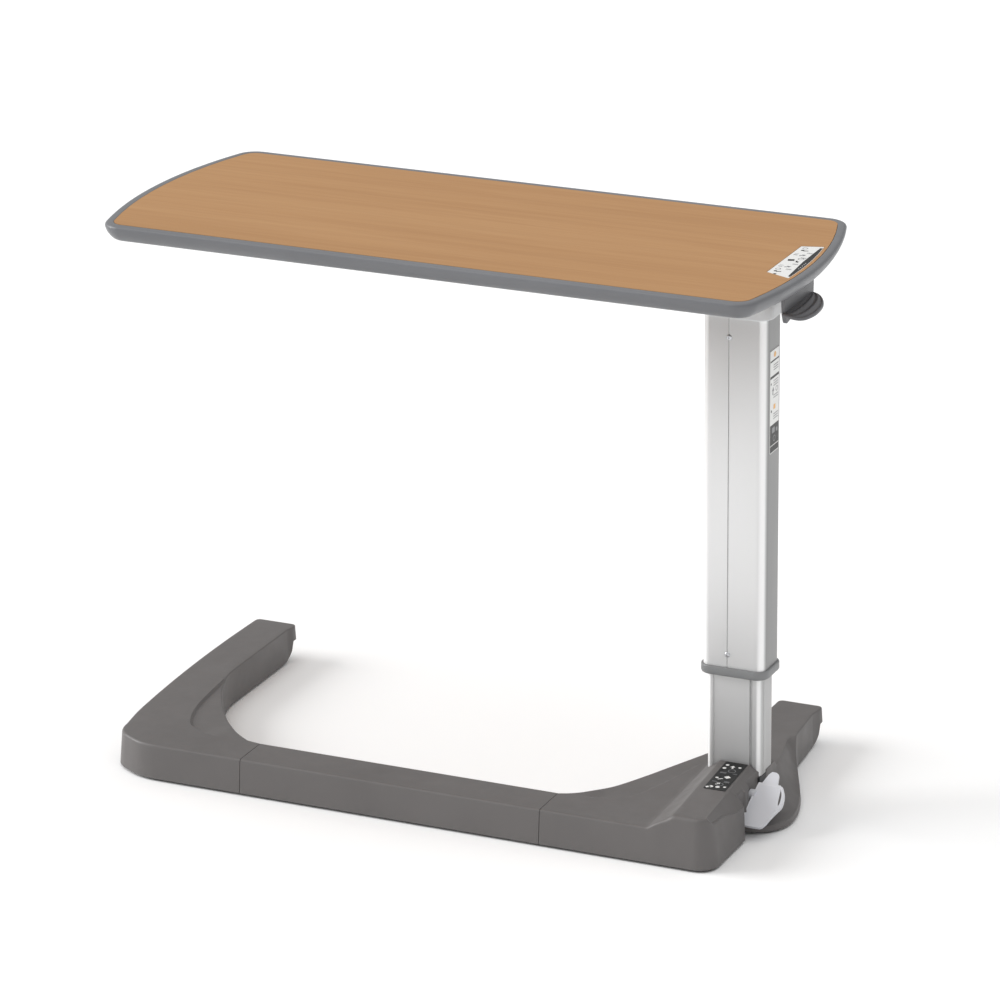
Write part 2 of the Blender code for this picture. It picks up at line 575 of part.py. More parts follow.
def make_frame():
    bar = span_box((-0.360, -0.222, 0.0130), (0.322, -0.182, LEG_BOTTOM - GAP))
    tube = put("cross_tube", bar, "painted_steel")
    combine(tube, cutter(span_box((-0.370, -0.220, 0.0150), (0.330, -0.184, LEG_BOTTOM - GAP - 0.002))))

    depth = COVER_WALL + 0.002
    left = clipped(inset(left_outline(True), depth), high_x=-0.320, high_y=0.204)
    right = clipped(inset(right_outline(True), depth), low_x=0.284, high_y=0.204)
    for name, outline in (("left_leg_plate", left), ("right_leg_plate", right)):
        leg_top = min(LEG_TOP, BASE_TOP - 2 * COVER_WALL - GAP)
        leg = put(name, prism(outline, LEG_BOTTOM, leg_top), "painted_steel")
        for x, y in CASTERS.values():
            combine(leg, cutter(rod_mesh(0.0045, 0.030, 0.050), (x, y, 0)))
        notch = span_box((0.348, PEDAL_PIVOT[1] - 0.007, 0.030), (0.400, PEDAL_PIVOT[1] + 0.007, 0.050))
        combine(leg, cutter(notch))

    low = (COLUMN_X - 0.0365, TOP_Y - 0.0235, 0.0424)
    high = (COLUMN_X + 0.0365, TOP_Y + 0.0235, 0.0523)
    foot = put("column_foot_plate", span_box(low, high), "painted_steel")
    corners = ((-1, -1), (1, -1), (-1, 1), (1, 1))
    for number, (sx, sy) in enumerate(corners, start=1):
        place = (COLUMN_X + sx * 0.026, TOP_Y + sy * 0.014, 0.0)
        combine(foot, cutter(rod_mesh(0.0028, 0.030, 0.060, segments=12), place))
        put(f"foot_plate_screw_{number}", rod_mesh(0.0025, 0.0427, 0.0560, segments=12), "steel", place)


def make_brake():
    px, py, pz = PEDAL_PIVOT
    down = Vector((-math.cos(PEDAL_TILT), -math.sin(PEDAL_TILT)))
    lift = Vector((down.y, -down.x))
    top_edge = Vector((0.013, 0.010))
    plan = [(0.002, 0.0), (0.028, 0.0), (0.037, 0.008), (0.041, 0.020)]
    plan += [(0.038, 0.038), (0.027, 0.067), (0.002, 0.067)]
    rings = []
    for depth in (-0.006, 0.0):
        ring = [(x, *(top_edge + down * s + lift * depth)) for x, s in plan]
        rings.append(ring)
    pedal = put("brake_pedal", loft(rings), "pedal_grey", PEDAL_PIVOT)
    combine(pedal, cutter(rod_mesh(0.0070, -0.008, 0.034, "X", 20), PEDAL_PIVOT), "UNION")
    tab = [(0.008, 0.004), (0.013, 0.010), (0.024, 0.023), (0.028, 0.020), (0.016, 0.004)]
    combine(pedal, cutter(side_prism(tab, 0.010, 0.024), PEDAL_PIVOT), "UNION")
    combine(pedal, cutter(rod_mesh(0.0043, -0.010, 0.028, "X", 20), PEDAL_PIVOT))

    shaft = put("brake_shaft", rod_mesh(0.0040, -0.036, 0.0275, "X", 20), "steel", PEDAL_PIVOT)
    combine(shaft, cutter(span_box((-0.036, -0.003, -0.022), (-0.030, 0.003, 0.0)), PEDAL_PIVOT), "UNION")

    rod_place = (px - 0.033, 0.0, pz - 0.018)
    rod = put("brake_rod", rod_mesh(0.0025, py + 0.0060, 0.152, "Y", 12), "steel", rod_place)
    combine(rod, cutter(span_box((-0.012, 0.148, -0.012), (0.004, 0.153, 0.004)), rod_place), "UNION")


def make_casters():
    """Twin-wheel casters under the leg plates: each hood swivels on its stem, each wheel pair rolls."""
    for name, (x, y) in CASTERS.items():
        at = (x, y, 0.0)
        axle = (x, y - CASTER_TRAIL, WHEEL_RADIUS)
        hood = put(f"{name}_caster_hood", rod_mesh(0.0240, 0.0312, 0.0345, segments=32), "nylon", at)
        web = side_prism([(-0.014, 0.009), (-0.002, 0.009), (0.012, 0.033), (-0.018, 0.033)], -0.002, 0.002)
        combine(hood, cutter(web, at), "UNION")
        combine(hood, cutter(rod_mesh(0.0040, 0.033, LEG_TOP - 0.003, segments=20), at), "UNION")
        combine(hood, cutter(rod_mesh(0.0028, -0.010, 0.010, "X", 16), axle))
        put(f"{name}_caster_axle", rod_mesh(0.0023, -0.0105, 0.0105, "X", 16), "steel", axle)
        for side, sign in (("left", -1), ("right", 1)):
            middle = sign * (0.0025 + WHEEL_WIDTH / 2)
            low, high = middle - WHEEL_WIDTH / 2, middle + WHEEL_WIDTH / 2
            tyre = rod_mesh(WHEEL_RADIUS, low, high, "X", 32)
            wheel = put(f"{name}_caster_{side}_wheel", tyre, "tread", axle)
            combine(wheel, cutter(rod_mesh(0.0026, low - 0.01, high + 0.01, "X", 16), axle))


clear_scene()
new_collection("overbed_table")
new_collection("cutters")
make_top()
make_support()
make_outer_column()
make_head()
make_inner_column()
make_gas_spring()
make_lever()
make_left_cover()
make_centre_cover()
make_right_cover()
make_frame()
make_brake()
make_casters()
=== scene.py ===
"""Looks of the overbed table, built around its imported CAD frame.

Frame: floor at z = 0, +X along the top towards the column, +Y to the open side of the base. Metres.
Every shell, trim and label piece rides on the CAD body whose node it stands for.
"""

import math

import bmesh
import bpy
import numpy as np
from mathutils import Matrix, Vector
from mathutils.geometry import delaunay_2d_cdt


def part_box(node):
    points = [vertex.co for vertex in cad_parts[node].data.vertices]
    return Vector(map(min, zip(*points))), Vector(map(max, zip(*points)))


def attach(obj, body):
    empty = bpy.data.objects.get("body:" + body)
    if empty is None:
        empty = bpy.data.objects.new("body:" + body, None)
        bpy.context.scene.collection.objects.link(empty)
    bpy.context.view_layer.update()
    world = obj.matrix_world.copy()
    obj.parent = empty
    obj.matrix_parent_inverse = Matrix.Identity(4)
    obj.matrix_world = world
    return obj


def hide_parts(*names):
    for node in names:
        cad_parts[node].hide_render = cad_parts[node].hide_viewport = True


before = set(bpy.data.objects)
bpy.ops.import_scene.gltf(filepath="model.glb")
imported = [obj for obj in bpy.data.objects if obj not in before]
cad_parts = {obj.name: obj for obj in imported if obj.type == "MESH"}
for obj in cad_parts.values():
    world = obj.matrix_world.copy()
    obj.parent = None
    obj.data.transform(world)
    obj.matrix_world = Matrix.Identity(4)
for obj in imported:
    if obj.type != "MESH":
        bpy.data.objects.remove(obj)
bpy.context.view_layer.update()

# ---- sizes, read from the frame where it gives them ----
TOP_LOW, TOP_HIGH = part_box("tabletop_edge")
OUTER_LOW, OUTER_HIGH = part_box("outer_column")
INNER_LOW, INNER_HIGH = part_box("inner_column")
COLLAR_LOW, COLLAR_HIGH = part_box("column_collar")
LEFT_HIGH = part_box("left_base_cover")[1]
CENTRE_LOW, CENTRE_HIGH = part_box("centre_base_cover")
RIGHT_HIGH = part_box("right_base_cover")[1]

TOP_Y = (TOP_LOW.y + TOP_HIGH.y) / 2
TOP_HEIGHT = TOP_HIGH.z
TOP_LENGTH = TOP_HIGH.x - TOP_LOW.x
TOP_WIDTH = TOP_HIGH.y - TOP_LOW.y
END_RADIUS = 0.6              # bowed ends of the top
END_CENTRE_Y = TOP_Y - 0.025
CORNER_RADIUS = 0.03
RIM_WIDTH = 0.011
COLUMN_X = (OUTER_LOW.x + OUTER_HIGH.x) / 2

BASE_FRONT = CENTRE_LOW.y
BASE_BACK = LEFT_HIGH.y
BAR_BACK = CENTRE_HIGH.y
BASE_BOTTOM = CENTRE_LOW.z
BASE_TOP = CENTRE_HIGH.z
BLOCK_TOP = RIGHT_HIGH.z
SEAM_LEFT = CENTRE_LOW.x
SEAM_RIGHT = CENTRE_HIGH.x
SEAM_GAP = 0.0004
LEDGE_DEPTH = 0.003             # sunken step in the two inner corners
SKIRT_END = BASE_BACK - 0.015   # the arms' skirts end here, under the lip at the tip
TIP_RADIUS = 0.022
LIP_BOTTOM = 0.0285
DRAFT = 0.0035                  # the covers' walls lean in by this much towards the top
ROUND = 0.004                  # radius of the covers' upper edges
SHELL = 0.003
THIN_SHELL = 0.002              # the right cover's wall, which has tighter bends


# ---- materials ----
def linear(*srgb):
    """A colour given in 0-255 sRGB as linear values."""
    values = [c / 255 for c in srgb]
    return tuple(c / 12.92 if c <= 0.04045 else ((c + 0.055) / 1.055) ** 2.4 for c in values)


class Nodes:
    """A material under construction: a short way to add nodes and join them."""

    def __init__(self, name):
        self.material = bpy.data.materials.new(name)
        self.material.use_nodes = True
        self.tree = self.material.node_tree
        self.shader = self.tree.nodes["Principled BSDF"]

    def add(self, kind, settings=(), **inputs):
        node = self.tree.nodes.new(kind)
        for key, value in dict(settings).items():
            setattr(node, key, value)
        for key, value in inputs.items():
            self.feed(node.inputs[key.replace("_", " ")], value)
        return node

    def feed(self, socket, value):
        if isinstance(value, bpy.types.NodeSocket):
            self.tree.links.new(value, socket)
        elif isinstance(value, tuple) and len(value) == 3 and socket.type == "RGBA":
            socket.default_value = (*value, 1.0)
        else:
            socket.default_value = value

    def coords(self, scale):
        """Object coordinates, stretched by a scale along each axis."""
        place = self.add("ShaderNodeTexCoord").outputs["Object"]
        stretch = self.add("ShaderNodeMapping", Vector=place, Scale=scale)
        return stretch.outputs["Vector"]

    def noise(self, scale, detail=4.0, stretch=(1.0, 1.0, 1.0), roughness=0.5, distortion=0.0):
        node = self.add("ShaderNodeTexNoise", Vector=self.coords(stretch), Scale=scale, Detail=detail,
                        Roughness=roughness, Distortion=distortion)
        return node.outputs["Fac"]

    def ramp(self, value, *stops):
        """A colour ramp through (position, linear colour) stops."""
        node = self.add("ShaderNodeValToRGB", Fac=value)
        elements = node.color_ramp.elements
        while len(elements) < len(stops):
            elements.new(0.5)
        for element, (position, colour) in zip(elements, stops):
            element.position = position
            element.color = (*colour, 1.0)
        return node.outputs["Color"]

    def level(self, value, low, high, to_low, to_high):
        """A value mapped linearly from one span to another, clamped."""
        node = self.add("ShaderNodeMapRange")
        for key, number in (("Value", value), ("From Min", low), ("From Max", high),
                            ("To Min", to_low), ("To Max", to_high)):
            self.feed(node.inputs[key], number)
        return node.outputs["Result"]

    def mix(self, factor, first, second):
        node = self.add("ShaderNodeMix", {"data_type": "RGBA"})
        self.feed(node.inputs[0], factor)
        self.feed(node.inputs[6], first)
        self.feed(node.inputs[7], second)
        return node.outputs[2]

    def math(self, operation, first, second=0.0):
        node = self.add("ShaderNodeMath", {"operation": operation})
        self.feed(node.inputs[0], first)
        self.feed(node.inputs[1], second)
        return node.outputs[0]

    def edges(self, radius, gain=3.0):
        """Near 1 along convex and concave edges, 0 on flat faces."""
        rounded = self.add("ShaderNodeBevel", {"samples": 4}, Radius=radius).outputs["Normal"]
        flat = self.add("ShaderNodeNewGeometry").outputs["Normal"]
        dot = self.add("ShaderNodeVectorMath", {"operation": "DOT_PRODUCT"})
        self.tree.links.new(rounded, dot.inputs[0])
        self.tree.links.new(flat, dot.inputs[1])
        return self.level(dot.outputs["Value"], 1.0, 1.0 - 1.0 / gain, 0.0, 1.0)

    def bump(self, height, strength, distance):
        node = self.add("ShaderNodeBump", Strength=strength, Distance=distance, Height=height)
        self.tree.links.new(node.outputs["Normal"], self.shader.inputs["Normal"])


def plastic(name, colour, roughness=0.5, grain=900.0, strength=0.12, variation=0.06, wear=0.25,
            specular=0.5):
    """Moulded plastic: a fine spark-eroded grain, faint cloudiness, and edges rubbed a little paler."""
    m = Nodes(name)
    cloud = m.noise(9.0, 3.0)
    darker = tuple(c * (1 - variation) for c in colour)
    paler = tuple(c * (1 + variation) for c in colour)
    base = m.ramp(cloud, (0.3, darker), (0.7, paler))
    worn = tuple(min(1.0, c * 1.5 + 0.02) for c in colour)
    scuffs = m.level(m.noise(160.0, 5.0, roughness=0.65), 0.42, 0.62, 0.35, 1.0)
    rubbed = m.math("MULTIPLY", m.edges(0.0015), m.math("MULTIPLY", scuffs, wear))
    m.feed(m.shader.inputs["Base Color"], m.mix(rubbed, base, worn))
    speckle = m.noise(grain, 2.0)
    dull = m.level(m.noise(35.0, 4.0), 0.3, 0.7, roughness - 0.05, roughness + 0.06)
    m.feed(m.shader.inputs["Roughness"], dull)
    m.shader.inputs["Specular IOR Level"].default_value = specular
    m.bump(speckle, strength, 0.0002)
    return m.material


def laminate(name):
    """Wood-print laminate: long plain-sawn streaks along X, fine pores, and broad warm and pale bands."""
    m = Nodes(name)
    bands = m.noise(3.2, 3.0, (0.35, 3.4, 1.0), 0.45, 0.35)
    streaks = m.noise(26.0, 6.0, (0.09, 3.2, 1.0), 0.62, 0.25)
    fibres = m.noise(210.0, 3.0, (0.05, 4.0, 1.0), 0.55)
    broad = m.ramp(bands, (0.3, linear(169, 124, 77)), (0.48, linear(175, 130, 83)),
                   (0.62, linear(181, 137, 90)), (0.8, linear(171, 126, 79)))
    tone = m.ramp(streaks, (0.32, linear(163, 118, 72)), (0.55, linear(176, 132, 85)),
                  (0.75, linear(183, 140, 93)))
    mixed = m.mix(0.42, broad, tone)
    pores = m.level(fibres, 0.36, 0.52, 0.1, 0.0)
    m.feed(m.shader.inputs["Base Color"], m.mix(pores, mixed, linear(143, 96, 55)))
    m.feed(m.shader.inputs["Roughness"], m.level(fibres, 0.3, 0.7, 0.5, 0.42))
    m.shader.inputs["Specular IOR Level"].default_value = 0.35
    m.bump(fibres, 0.05, 0.0001)
    return m.material


def anodised(name, front, corner, side, roughness=0.42, metallic=0.2):
    """Satin anodised extrusion: fine die lines along Z, and painted shade that makes its two side faces
    darker than the front, with a painted highlight on the rounded corners between them.
    """
    m = Nodes(name)
    die = m.noise(1600.0, 3.0, (1.0, 1.0, 0.004), 0.6)
    normal = m.add("ShaderNodeTexCoord").outputs["Normal"]
    across = m.add("ShaderNodeSeparateXYZ", Vector=normal).outputs["X"]
    across = m.math("ABSOLUTE", across)
    # Painted light: the grey follows which way each face turns, giving a painted highlight on the rounded
    # corners and painted shade on the two side faces.
    painted_light_greys = ((0.02, front), (0.3, front), (0.55, corner), (0.8, corner), (0.97, side))
    painted_shade_and_highlight = m.ramp(across, *((place, (grey, grey, grey)) for place, grey in painted_light_greys))
    cloud = m.level(m.noise(14.0, 3.0, (1.0, 1.0, 0.2)), 0.3, 0.7, 0.0, 0.05)
    m.feed(m.shader.inputs["Base Color"], m.mix(cloud, painted_shade_and_highlight, (0.95, 0.95, 0.95)))
    m.feed(m.shader.inputs["Roughness"], m.level(die, 0.3, 0.7, roughness - 0.04, roughness + 0.05))
    m.shader.inputs["Metallic"].default_value = metallic
    m.bump(die, 0.06, 0.00005)
    return m.material


def machined(name, colour, roughness=0.3, scale=700.0):
    """Turned or plated steel with a fine random finish."""
    m = Nodes(name)
    spots = m.noise(scale, 4.0)
    base = m.ramp(spots, (0.3, tuple(c * 0.86 for c in colour)), (0.7, colour))
    m.feed(m.shader.inputs["Base Color"], base)
    m.feed(m.shader.inputs["Roughness"], m.level(spots, 0.3, 0.7, roughness - 0.06, roughness + 0.1))
    m.shader.inputs["Metallic"].default_value = 1.0
    m.bump(spots, 0.05, 0.00005)
    return m.material


def film(name, colour, roughness=0.32, coat=0.3):
    """Printed vinyl: a flat colour with slight mottling under a thin clear coat."""
    m = Nodes(name)
    mottle = m.noise(300.0, 3.0)
    darker = tuple(c * 0.95 for c in colour)
    paler = tuple(min(1.0, c * 1.02) for c in colour)
    base = m.ramp(mottle, (0.3, darker), (0.7, paler))
    m.feed(m.shader.inputs["Base Color"], base)
    m.feed(m.shader.inputs["Roughness"], m.level(mottle, 0.3, 0.7, roughness - 0.03, roughness + 0.04))
    m.shader.inputs["Coat Weight"].default_value = coat
    m.shader.inputs["Coat Roughness"].default_value = 0.15
    m.bump(mottle, 0.03, 0.00003)
    return m.material


MATERIALS = {
    "wood": laminate("laminate_wood"),
    "edge_grey": plastic("edge_plastic", linear(110, 111, 114), 0.4, strength=0.06, wear=0.3),
    "base_grey": plastic("base_plastic", linear(99, 96, 95), 0.46, strength=0.1, wear=0.35),
    "lever_grey": plastic("lever_plastic", linear(104, 104, 107), 0.42, strength=0.08, wear=0.5),
    "collar_grey": plastic("collar_plastic", linear(128, 129, 130), 0.42, strength=0.06),
    "head_silver": plastic("head_plastic", linear(214, 215, 216), 0.38, strength=0.05, variation=0.02,
                           wear=0.0),
    # Each extrusion's three greys: its front, the painted highlight on its corners and the painted shade on
    # its sides.
    "inner_aluminium": anodised("inner_aluminium", 0.66, 0.97, 0.5),
    "aluminium": anodised("anodised_aluminium", 0.8, 0.97, 0.29),
    "steel": machined("zinc_steel", (0.62, 0.63, 0.65)),
    "painted_steel": plastic("black_paint", linear(52, 52, 54), 0.45, grain=500.0, strength=0.15, wear=0.6),
    "pedal_grey": plastic("pedal_plastic", linear(212, 213, 218), 0.38, strength=0.06, variation=0.03,
                           wear=0.15),
    "white_label": film("label_white", linear(232, 232, 230)),
    "black_label": film("label_black", linear(4, 5, 5), 0.4, 0.0),
    "nylon": plastic("black_nylon", linear(38, 38, 40), 0.5, grain=600.0, strength=0.1, wear=0.3),
    "tread": plastic("wheel_tread", linear(118, 118, 120), 0.6, grain=1200.0, strength=0.2, wear=0.4),
    "grey_print": film("label_grey", linear(120, 121, 124)),
    "amber_print": film("label_amber", linear(232, 168, 60)),
}


def dress_nodes():
    """Every carried-over CAD node takes the detailed finish of its own slot."""
    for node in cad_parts.values():
        for slot in node.material_slots:
            slot.material = MATERIALS[slot.material.name.split(".")[0]]


# ---- mesh helpers ----
def finish_mesh(name, bm, materials, body, replaced=(), sharp=32.0):
    """A bmesh becomes a piece: smooth shaded, riding on a body, standing for CAD nodes."""
    bmesh.ops.remove_doubles(bm, verts=bm.verts, dist=1e-6)
    bmesh.ops.recalc_face_normals(bm, faces=bm.faces)
    mesh = bpy.data.meshes.new(name)
    bm.to_mesh(mesh)
    bm.free()
    mesh.shade_smooth()
    mesh.set_sharp_from_angle(angle=math.radians(sharp))
    names = [materials] if isinstance(materials, str) else list(materials)
    for material in names:
        mesh.materials.append(MATERIALS[material])
    piece = bpy.data.objects.new(name, mesh)
    bpy.context.scene.collection.objects.link(piece)
    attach(piece, body)
    if replaced:
        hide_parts(*replaced)
    return piece


def bridge(bm, first, second, closed=True):
    """Quads between two loops of equal count."""
    count = len(first)
    for i in range(count if closed else count - 1):
        j = (i + 1) % count
        bm.faces.new((first[i], first[j], second[j], second[i]))


def add_rings(bm, rings, closed=False):
    """A skin through rings of equal point count, with capped ends or closed on itself."""
    loops = [[bm.verts.new(point) for point in ring] for ring in rings]
    for below, above in zip(loops, loops[1:] + (loops[:1] if closed else [])):
        bridge(bm, below, above)
    if not closed:
        bm.faces.new(loops[0])
        bm.faces.new(loops[-1])
    return loops


def arc(centre, radius, start, end, steps):
    """Points on a circle from one angle to another, in degrees."""
    angles = [math.radians(start + (end - start) * i / steps) for i in range(steps + 1)]
    return [(centre[0] + radius * math.cos(a), centre[1] + radius * math.sin(a)) for a in angles]


def arc_through(first, middle, last, steps):
    """Points on the circle through three points, from the first to the last."""
    (ax, ay), (bx, by), (cx, cy) = first, middle, last
    d = 2 * (ax * (by - cy) + bx * (cy - ay) + cx * (ay - by))
    a2, b2, c2 = ax * ax + ay * ay, bx * bx + by * by, cx * cx + cy * cy
    ux = (a2 * (by - cy) + b2 * (cy - ay) + c2 * (ay - by)) / d
    uy = (a2 * (cx - bx) + b2 * (ax - cx) + c2 * (bx - ax)) / d
    start = math.atan2(ay - uy, ax - ux)
    sweep = (math.atan2(cy - uy, cx - ux) - start + math.pi) % (2 * math.pi) - math.pi
    radius = math.hypot(ax - ux, ay - uy)
    turns = [start + sweep * i / steps for i in range(steps + 1)]
    return [(ux + radius * math.cos(t), uy + radius * math.sin(t)) for t in turns]


def curve_through(points, spacing=0.003):
    """A smooth Catmull-Rom line through a few chosen points, sampled about every spacing."""
    knots = [Vector(p) for p in points]
    knots = [2 * knots[0] - knots[1], *knots, 2 * knots[-1] - knots[-2]]
    line = []
    for a, b, c, d in zip(knots, knots[1:], knots[2:], knots[3:]):
        steps = max(2, round((c - b).length / spacing))
        for i in range(steps):
            t = i / steps
            line.append(0.5 * (2 * b + (c - a) * t + (2 * a - 5 * b + 4 * c - d) * t**2
                               + (3 * b - a - 3 * c + d) * t**3))
    line.append(knots[-2])
    return [tuple(p) for p in line]


def rounded(size, radius, centre=(0.0, 0.0), steps=8):
    """A rectangle with round corners, counter-clockwise."""
    hx, hy = size[0] / 2 - radius, size[1] / 2 - radius
    points = []
    for sx, sy, start in ((1, -1, -90), (1, 1, 0), (-1, 1, 90), (-1, -1, 180)):
        points += arc((centre[0] + sx * hx, centre[1] + sy * hy), radius, start, start + 90, steps)
    return points


def dense(points, spacing):
    """A closed outline with its long straight sides divided."""
    outline = []
    for a, b in zip(points, points[1:] + points[:1]):
        steps = max(1, math.ceil(math.dist(a, b) / spacing))
        dx, dy = b[0] - a[0], b[1] - a[1]
        outline += [(a[0] + dx * i / steps, a[1] + dy * i / steps) for i in range(steps)]
    return outline


def offset(outline, distances):
    """The closed outline moved inwards, each side by its own distance."""
    points = np.array(outline)
    along = np.roll(points, -1, 0) - points
    along /= np.linalg.norm(along, axis=1)[:, None]
    after = np.stack([-along[:, 1], along[:, 0]], 1)
    before = np.roll(after, 1, 0)
    d_after = np.broadcast_to(distances, len(points)).astype(float)
    d_before = np.roll(d_after, 1)
    det = before[:, 0] * after[:, 1] - before[:, 1] * after[:, 0]
    middle = before + after
    middle /= np.linalg.norm(middle, axis=1)[:, None]
    safe = np.where(np.abs(det) < 0.08, 1.0, det)
    exact = np.stack([(d_before * after[:, 1] - d_after * before[:, 1]) / safe,
                      (before[:, 0] * d_after - after[:, 0] * d_before) / safe], 1)
    simple = middle * ((d_before + d_after) / 2)[:, None]
    return points + np.where((np.abs(det) < 0.08)[:, None], simple, exact)


# ---- moulded covers: a skin over a plan, with its creases ----
def smooth(low, high, value):
    t = np.clip((value - low) / (high - low), 0.0, 1.0)
    return t * t * (3 - 2 * t)


def inside(points, ring):
    """Which points lie inside a closed ring."""
    x, y = points[:, 0][:, None], points[:, 1][:, None]
    (x0, y0), (x1, y1) = ring.T, np.roll(ring, -1, 0).T
    crosses = (y0 > y) != (y1 > y)
    at = x0 + (y - y0) * (x1 - x0) / np.where(y1 == y0, 1e-12, y1 - y0)
    return ((crosses & (x < at)).sum(1) % 2) == 1


def side_distance(x, y, line):
    """Distance of each place to a line of points, positive on its left side."""
    line = np.array(line)
    start, step = line[:-1], np.diff(line, axis=0)
    px, py = x[:, None] - start[:, 0], y[:, None] - start[:, 1]
    share = np.clip((px * step[:, 0] + py * step[:, 1]) / (step**2).sum(1), 0.0, 1.0)
    dx, dy = px - share * step[:, 0], py - share * step[:, 1]
    squares = dx * dx + dy * dy
    nearest = squares.argmin(1)
    row = np.arange(len(x))
    side = step[nearest, 0] * py[row, nearest] - step[nearest, 1] * px[row, nearest]
    return np.sqrt(squares[row, nearest]) * np.where(side >= 0, 1.0, -1.0)


def foot(y):
    """Height of the wall's lower edge: the arms' skirts end in a round corner under the lip."""
    into = np.clip((y - (SKIRT_END - TIP_RADIUS)) / TIP_RADIUS, 0.0, 1.0)
    skirt = BASE_BOTTOM + TIP_RADIUS * (1 - np.sqrt(1 - into**2))
    return np.where(y > SKIRT_END + 1e-4, LIP_BOTTOM, np.minimum(skirt, LIP_BOTTOM))


def fill_cap(ring, creases, spacing, hole=None):
    """Triangles over the ring's inside, following the creases. The ring's points come first."""
    ring = np.array(ring)
    points, edges = [tuple(p) for p in ring], [(i, (i + 1) % len(ring)) for i in range(len(ring))]
    closed = np.vstack([ring, ring[:1]])
    for crease in creases:
        line = np.array(crease)
        kept = inside(line, ring) & (np.abs(side_distance(line[:, 0], line[:, 1], closed)) > 0.0006)
        first = None
        for point, keep in zip(line, kept):
            if keep:
                points.append(tuple(point))
                if first is not None:
                    edges.append((first, len(points) - 1))
                first = len(points) - 1
            else:
                first = None
    if hole:
        first = len(points)
        points += hole
        edges += [(first + i, first + (i + 1) % len(hole)) for i in range(len(hole))]
    low, high = ring.min(0), ring.max(0)
    grid = np.stack(np.meshgrid(np.arange(low[0], high[0], spacing), np.arange(low[1], high[1], spacing)), -1)
    grid = grid.reshape(-1, 2)
    grid = grid[inside(grid, ring)]
    fixed = np.array(points)
    gaps = np.sqrt(((grid[:, None] - fixed[None]) ** 2).sum(2).min(1))
    points += [tuple(p) for p in grid[gaps > spacing * 0.6]]
    border = [list(range(len(ring)))]
    verts, _, faces, *_ = delaunay_2d_cdt([Vector(p) for p in points], edges, border, 1, 1e-7)
    verts = np.array([tuple(v) for v in verts])
    faces = np.array([f for f in faces])
    if hole:
        centres = verts[faces].mean(1)
        faces = faces[~inside(centres, np.array(hole))]
    return verts, faces


def cover_skin(outline, seams, height, draft, radius, creases=(), spacing=0.006, hole=None):
    """Outer skin of a cover: its walls, its rounded upper edge and its top. Sides at a seam stay open."""
    outline = np.array(outline)
    following = np.roll(outline, -1, 0)
    middle = (outline + following) / 2
    at_seam = np.zeros(len(outline), bool)
    for x in seams:
        at_seam |= (np.abs(outline[:, 0] - x) < 1e-5) & (np.abs(following[:, 0] - x) < 1e-5)
    free = np.where(at_seam, 0.0, 1.0)
    lean = draft(middle[:, 0], middle[:, 1]) * free
    bend = radius(middle[:, 0], middle[:, 1]) * free
    bend_at = (radius(middle[:, 0], middle[:, 1]) + np.roll(radius(middle[:, 0], middle[:, 1]), 1)) / 2
    inner = offset(outline, lean + bend)
    verts, faces = fill_cap(inner, creases, spacing, hole)
    bm = bmesh.new()
    tops = height(verts[:, 0], verts[:, 1])
    cap = [bm.verts.new((x, y, z)) for (x, y), z in zip(verts, tops)]
    for face in faces:
        bm.faces.new([cap[i] for i in face])
    crest = height(inner[:, 0], inner[:, 1])
    rings = []
    for step in range(0, 7):
        turn = math.radians(15 * step)
        ring = offset(outline, lean + bend * (1 - math.sin(turn)))
        rings.append(np.column_stack([ring, crest - bend_at * (1 - math.cos(turn))]))
    lower = np.column_stack([outline, foot(outline[:, 1])])
    rings += [rings[6] + (lower - rings[6]) * share for share in (0.33, 0.67, 1.0)]
    loops = [[bm.verts.new(tuple(p)) for p in ring] for ring in rings]
    count = len(outline)
    for upper, under in zip(loops, loops[1:]):
        for i in range(count):
            j = (i + 1) % count
            if not at_seam[i]:
                bm.faces.new((upper[i], under[i], under[j], upper[j]))
    bmesh.ops.remove_doubles(bm, verts=bm.verts, dist=1e-6)
    return bm


def thicken(bm, thickness):
    """The open skin made a closed shell, with its wall grown inwards."""
    bmesh.ops.recalc_face_normals(bm, faces=bm.faces)
    if sum(f.normal.z * f.calc_area() for f in bm.faces) < 0:
        bmesh.ops.reverse_faces(bm, faces=bm.faces)
    mesh = bpy.data.meshes.new("skin")
    bm.to_mesh(mesh)
    bm.free()
    holder = bpy.data.objects.new("skin", mesh)
    bpy.context.scene.collection.objects.link(holder)
    solid = holder.modifiers.new("wall", "SOLIDIFY")
    solid.thickness = thickness
    solid.offset = -1.0
    shell = bmesh.new()
    shell.from_mesh(holder.evaluated_get(bpy.context.evaluated_depsgraph_get()).to_mesh())
    bpy.data.objects.remove(holder)
    return shell


def tip_block(bm, left, right):
    """The end wall of an arm's skirt, and the solid lip above it, between two x places."""
    gap = 0.0003
    back, top = BASE_BACK - 0.001, BASE_TOP - 0.0015
    outer = arc((SKIRT_END - TIP_RADIUS, BASE_BOTTOM + TIP_RADIUS), TIP_RADIUS - gap, -30, 0, 5)
    lip = [(SKIRT_END - gap, LIP_BOTTOM), (back, LIP_BOTTOM), (back, top)]
    profile = outer + lip + [(SKIRT_END - SHELL, top)]
    add_rings(bm, [[(x, y, z) for y, z in profile] for x in (left, right)])


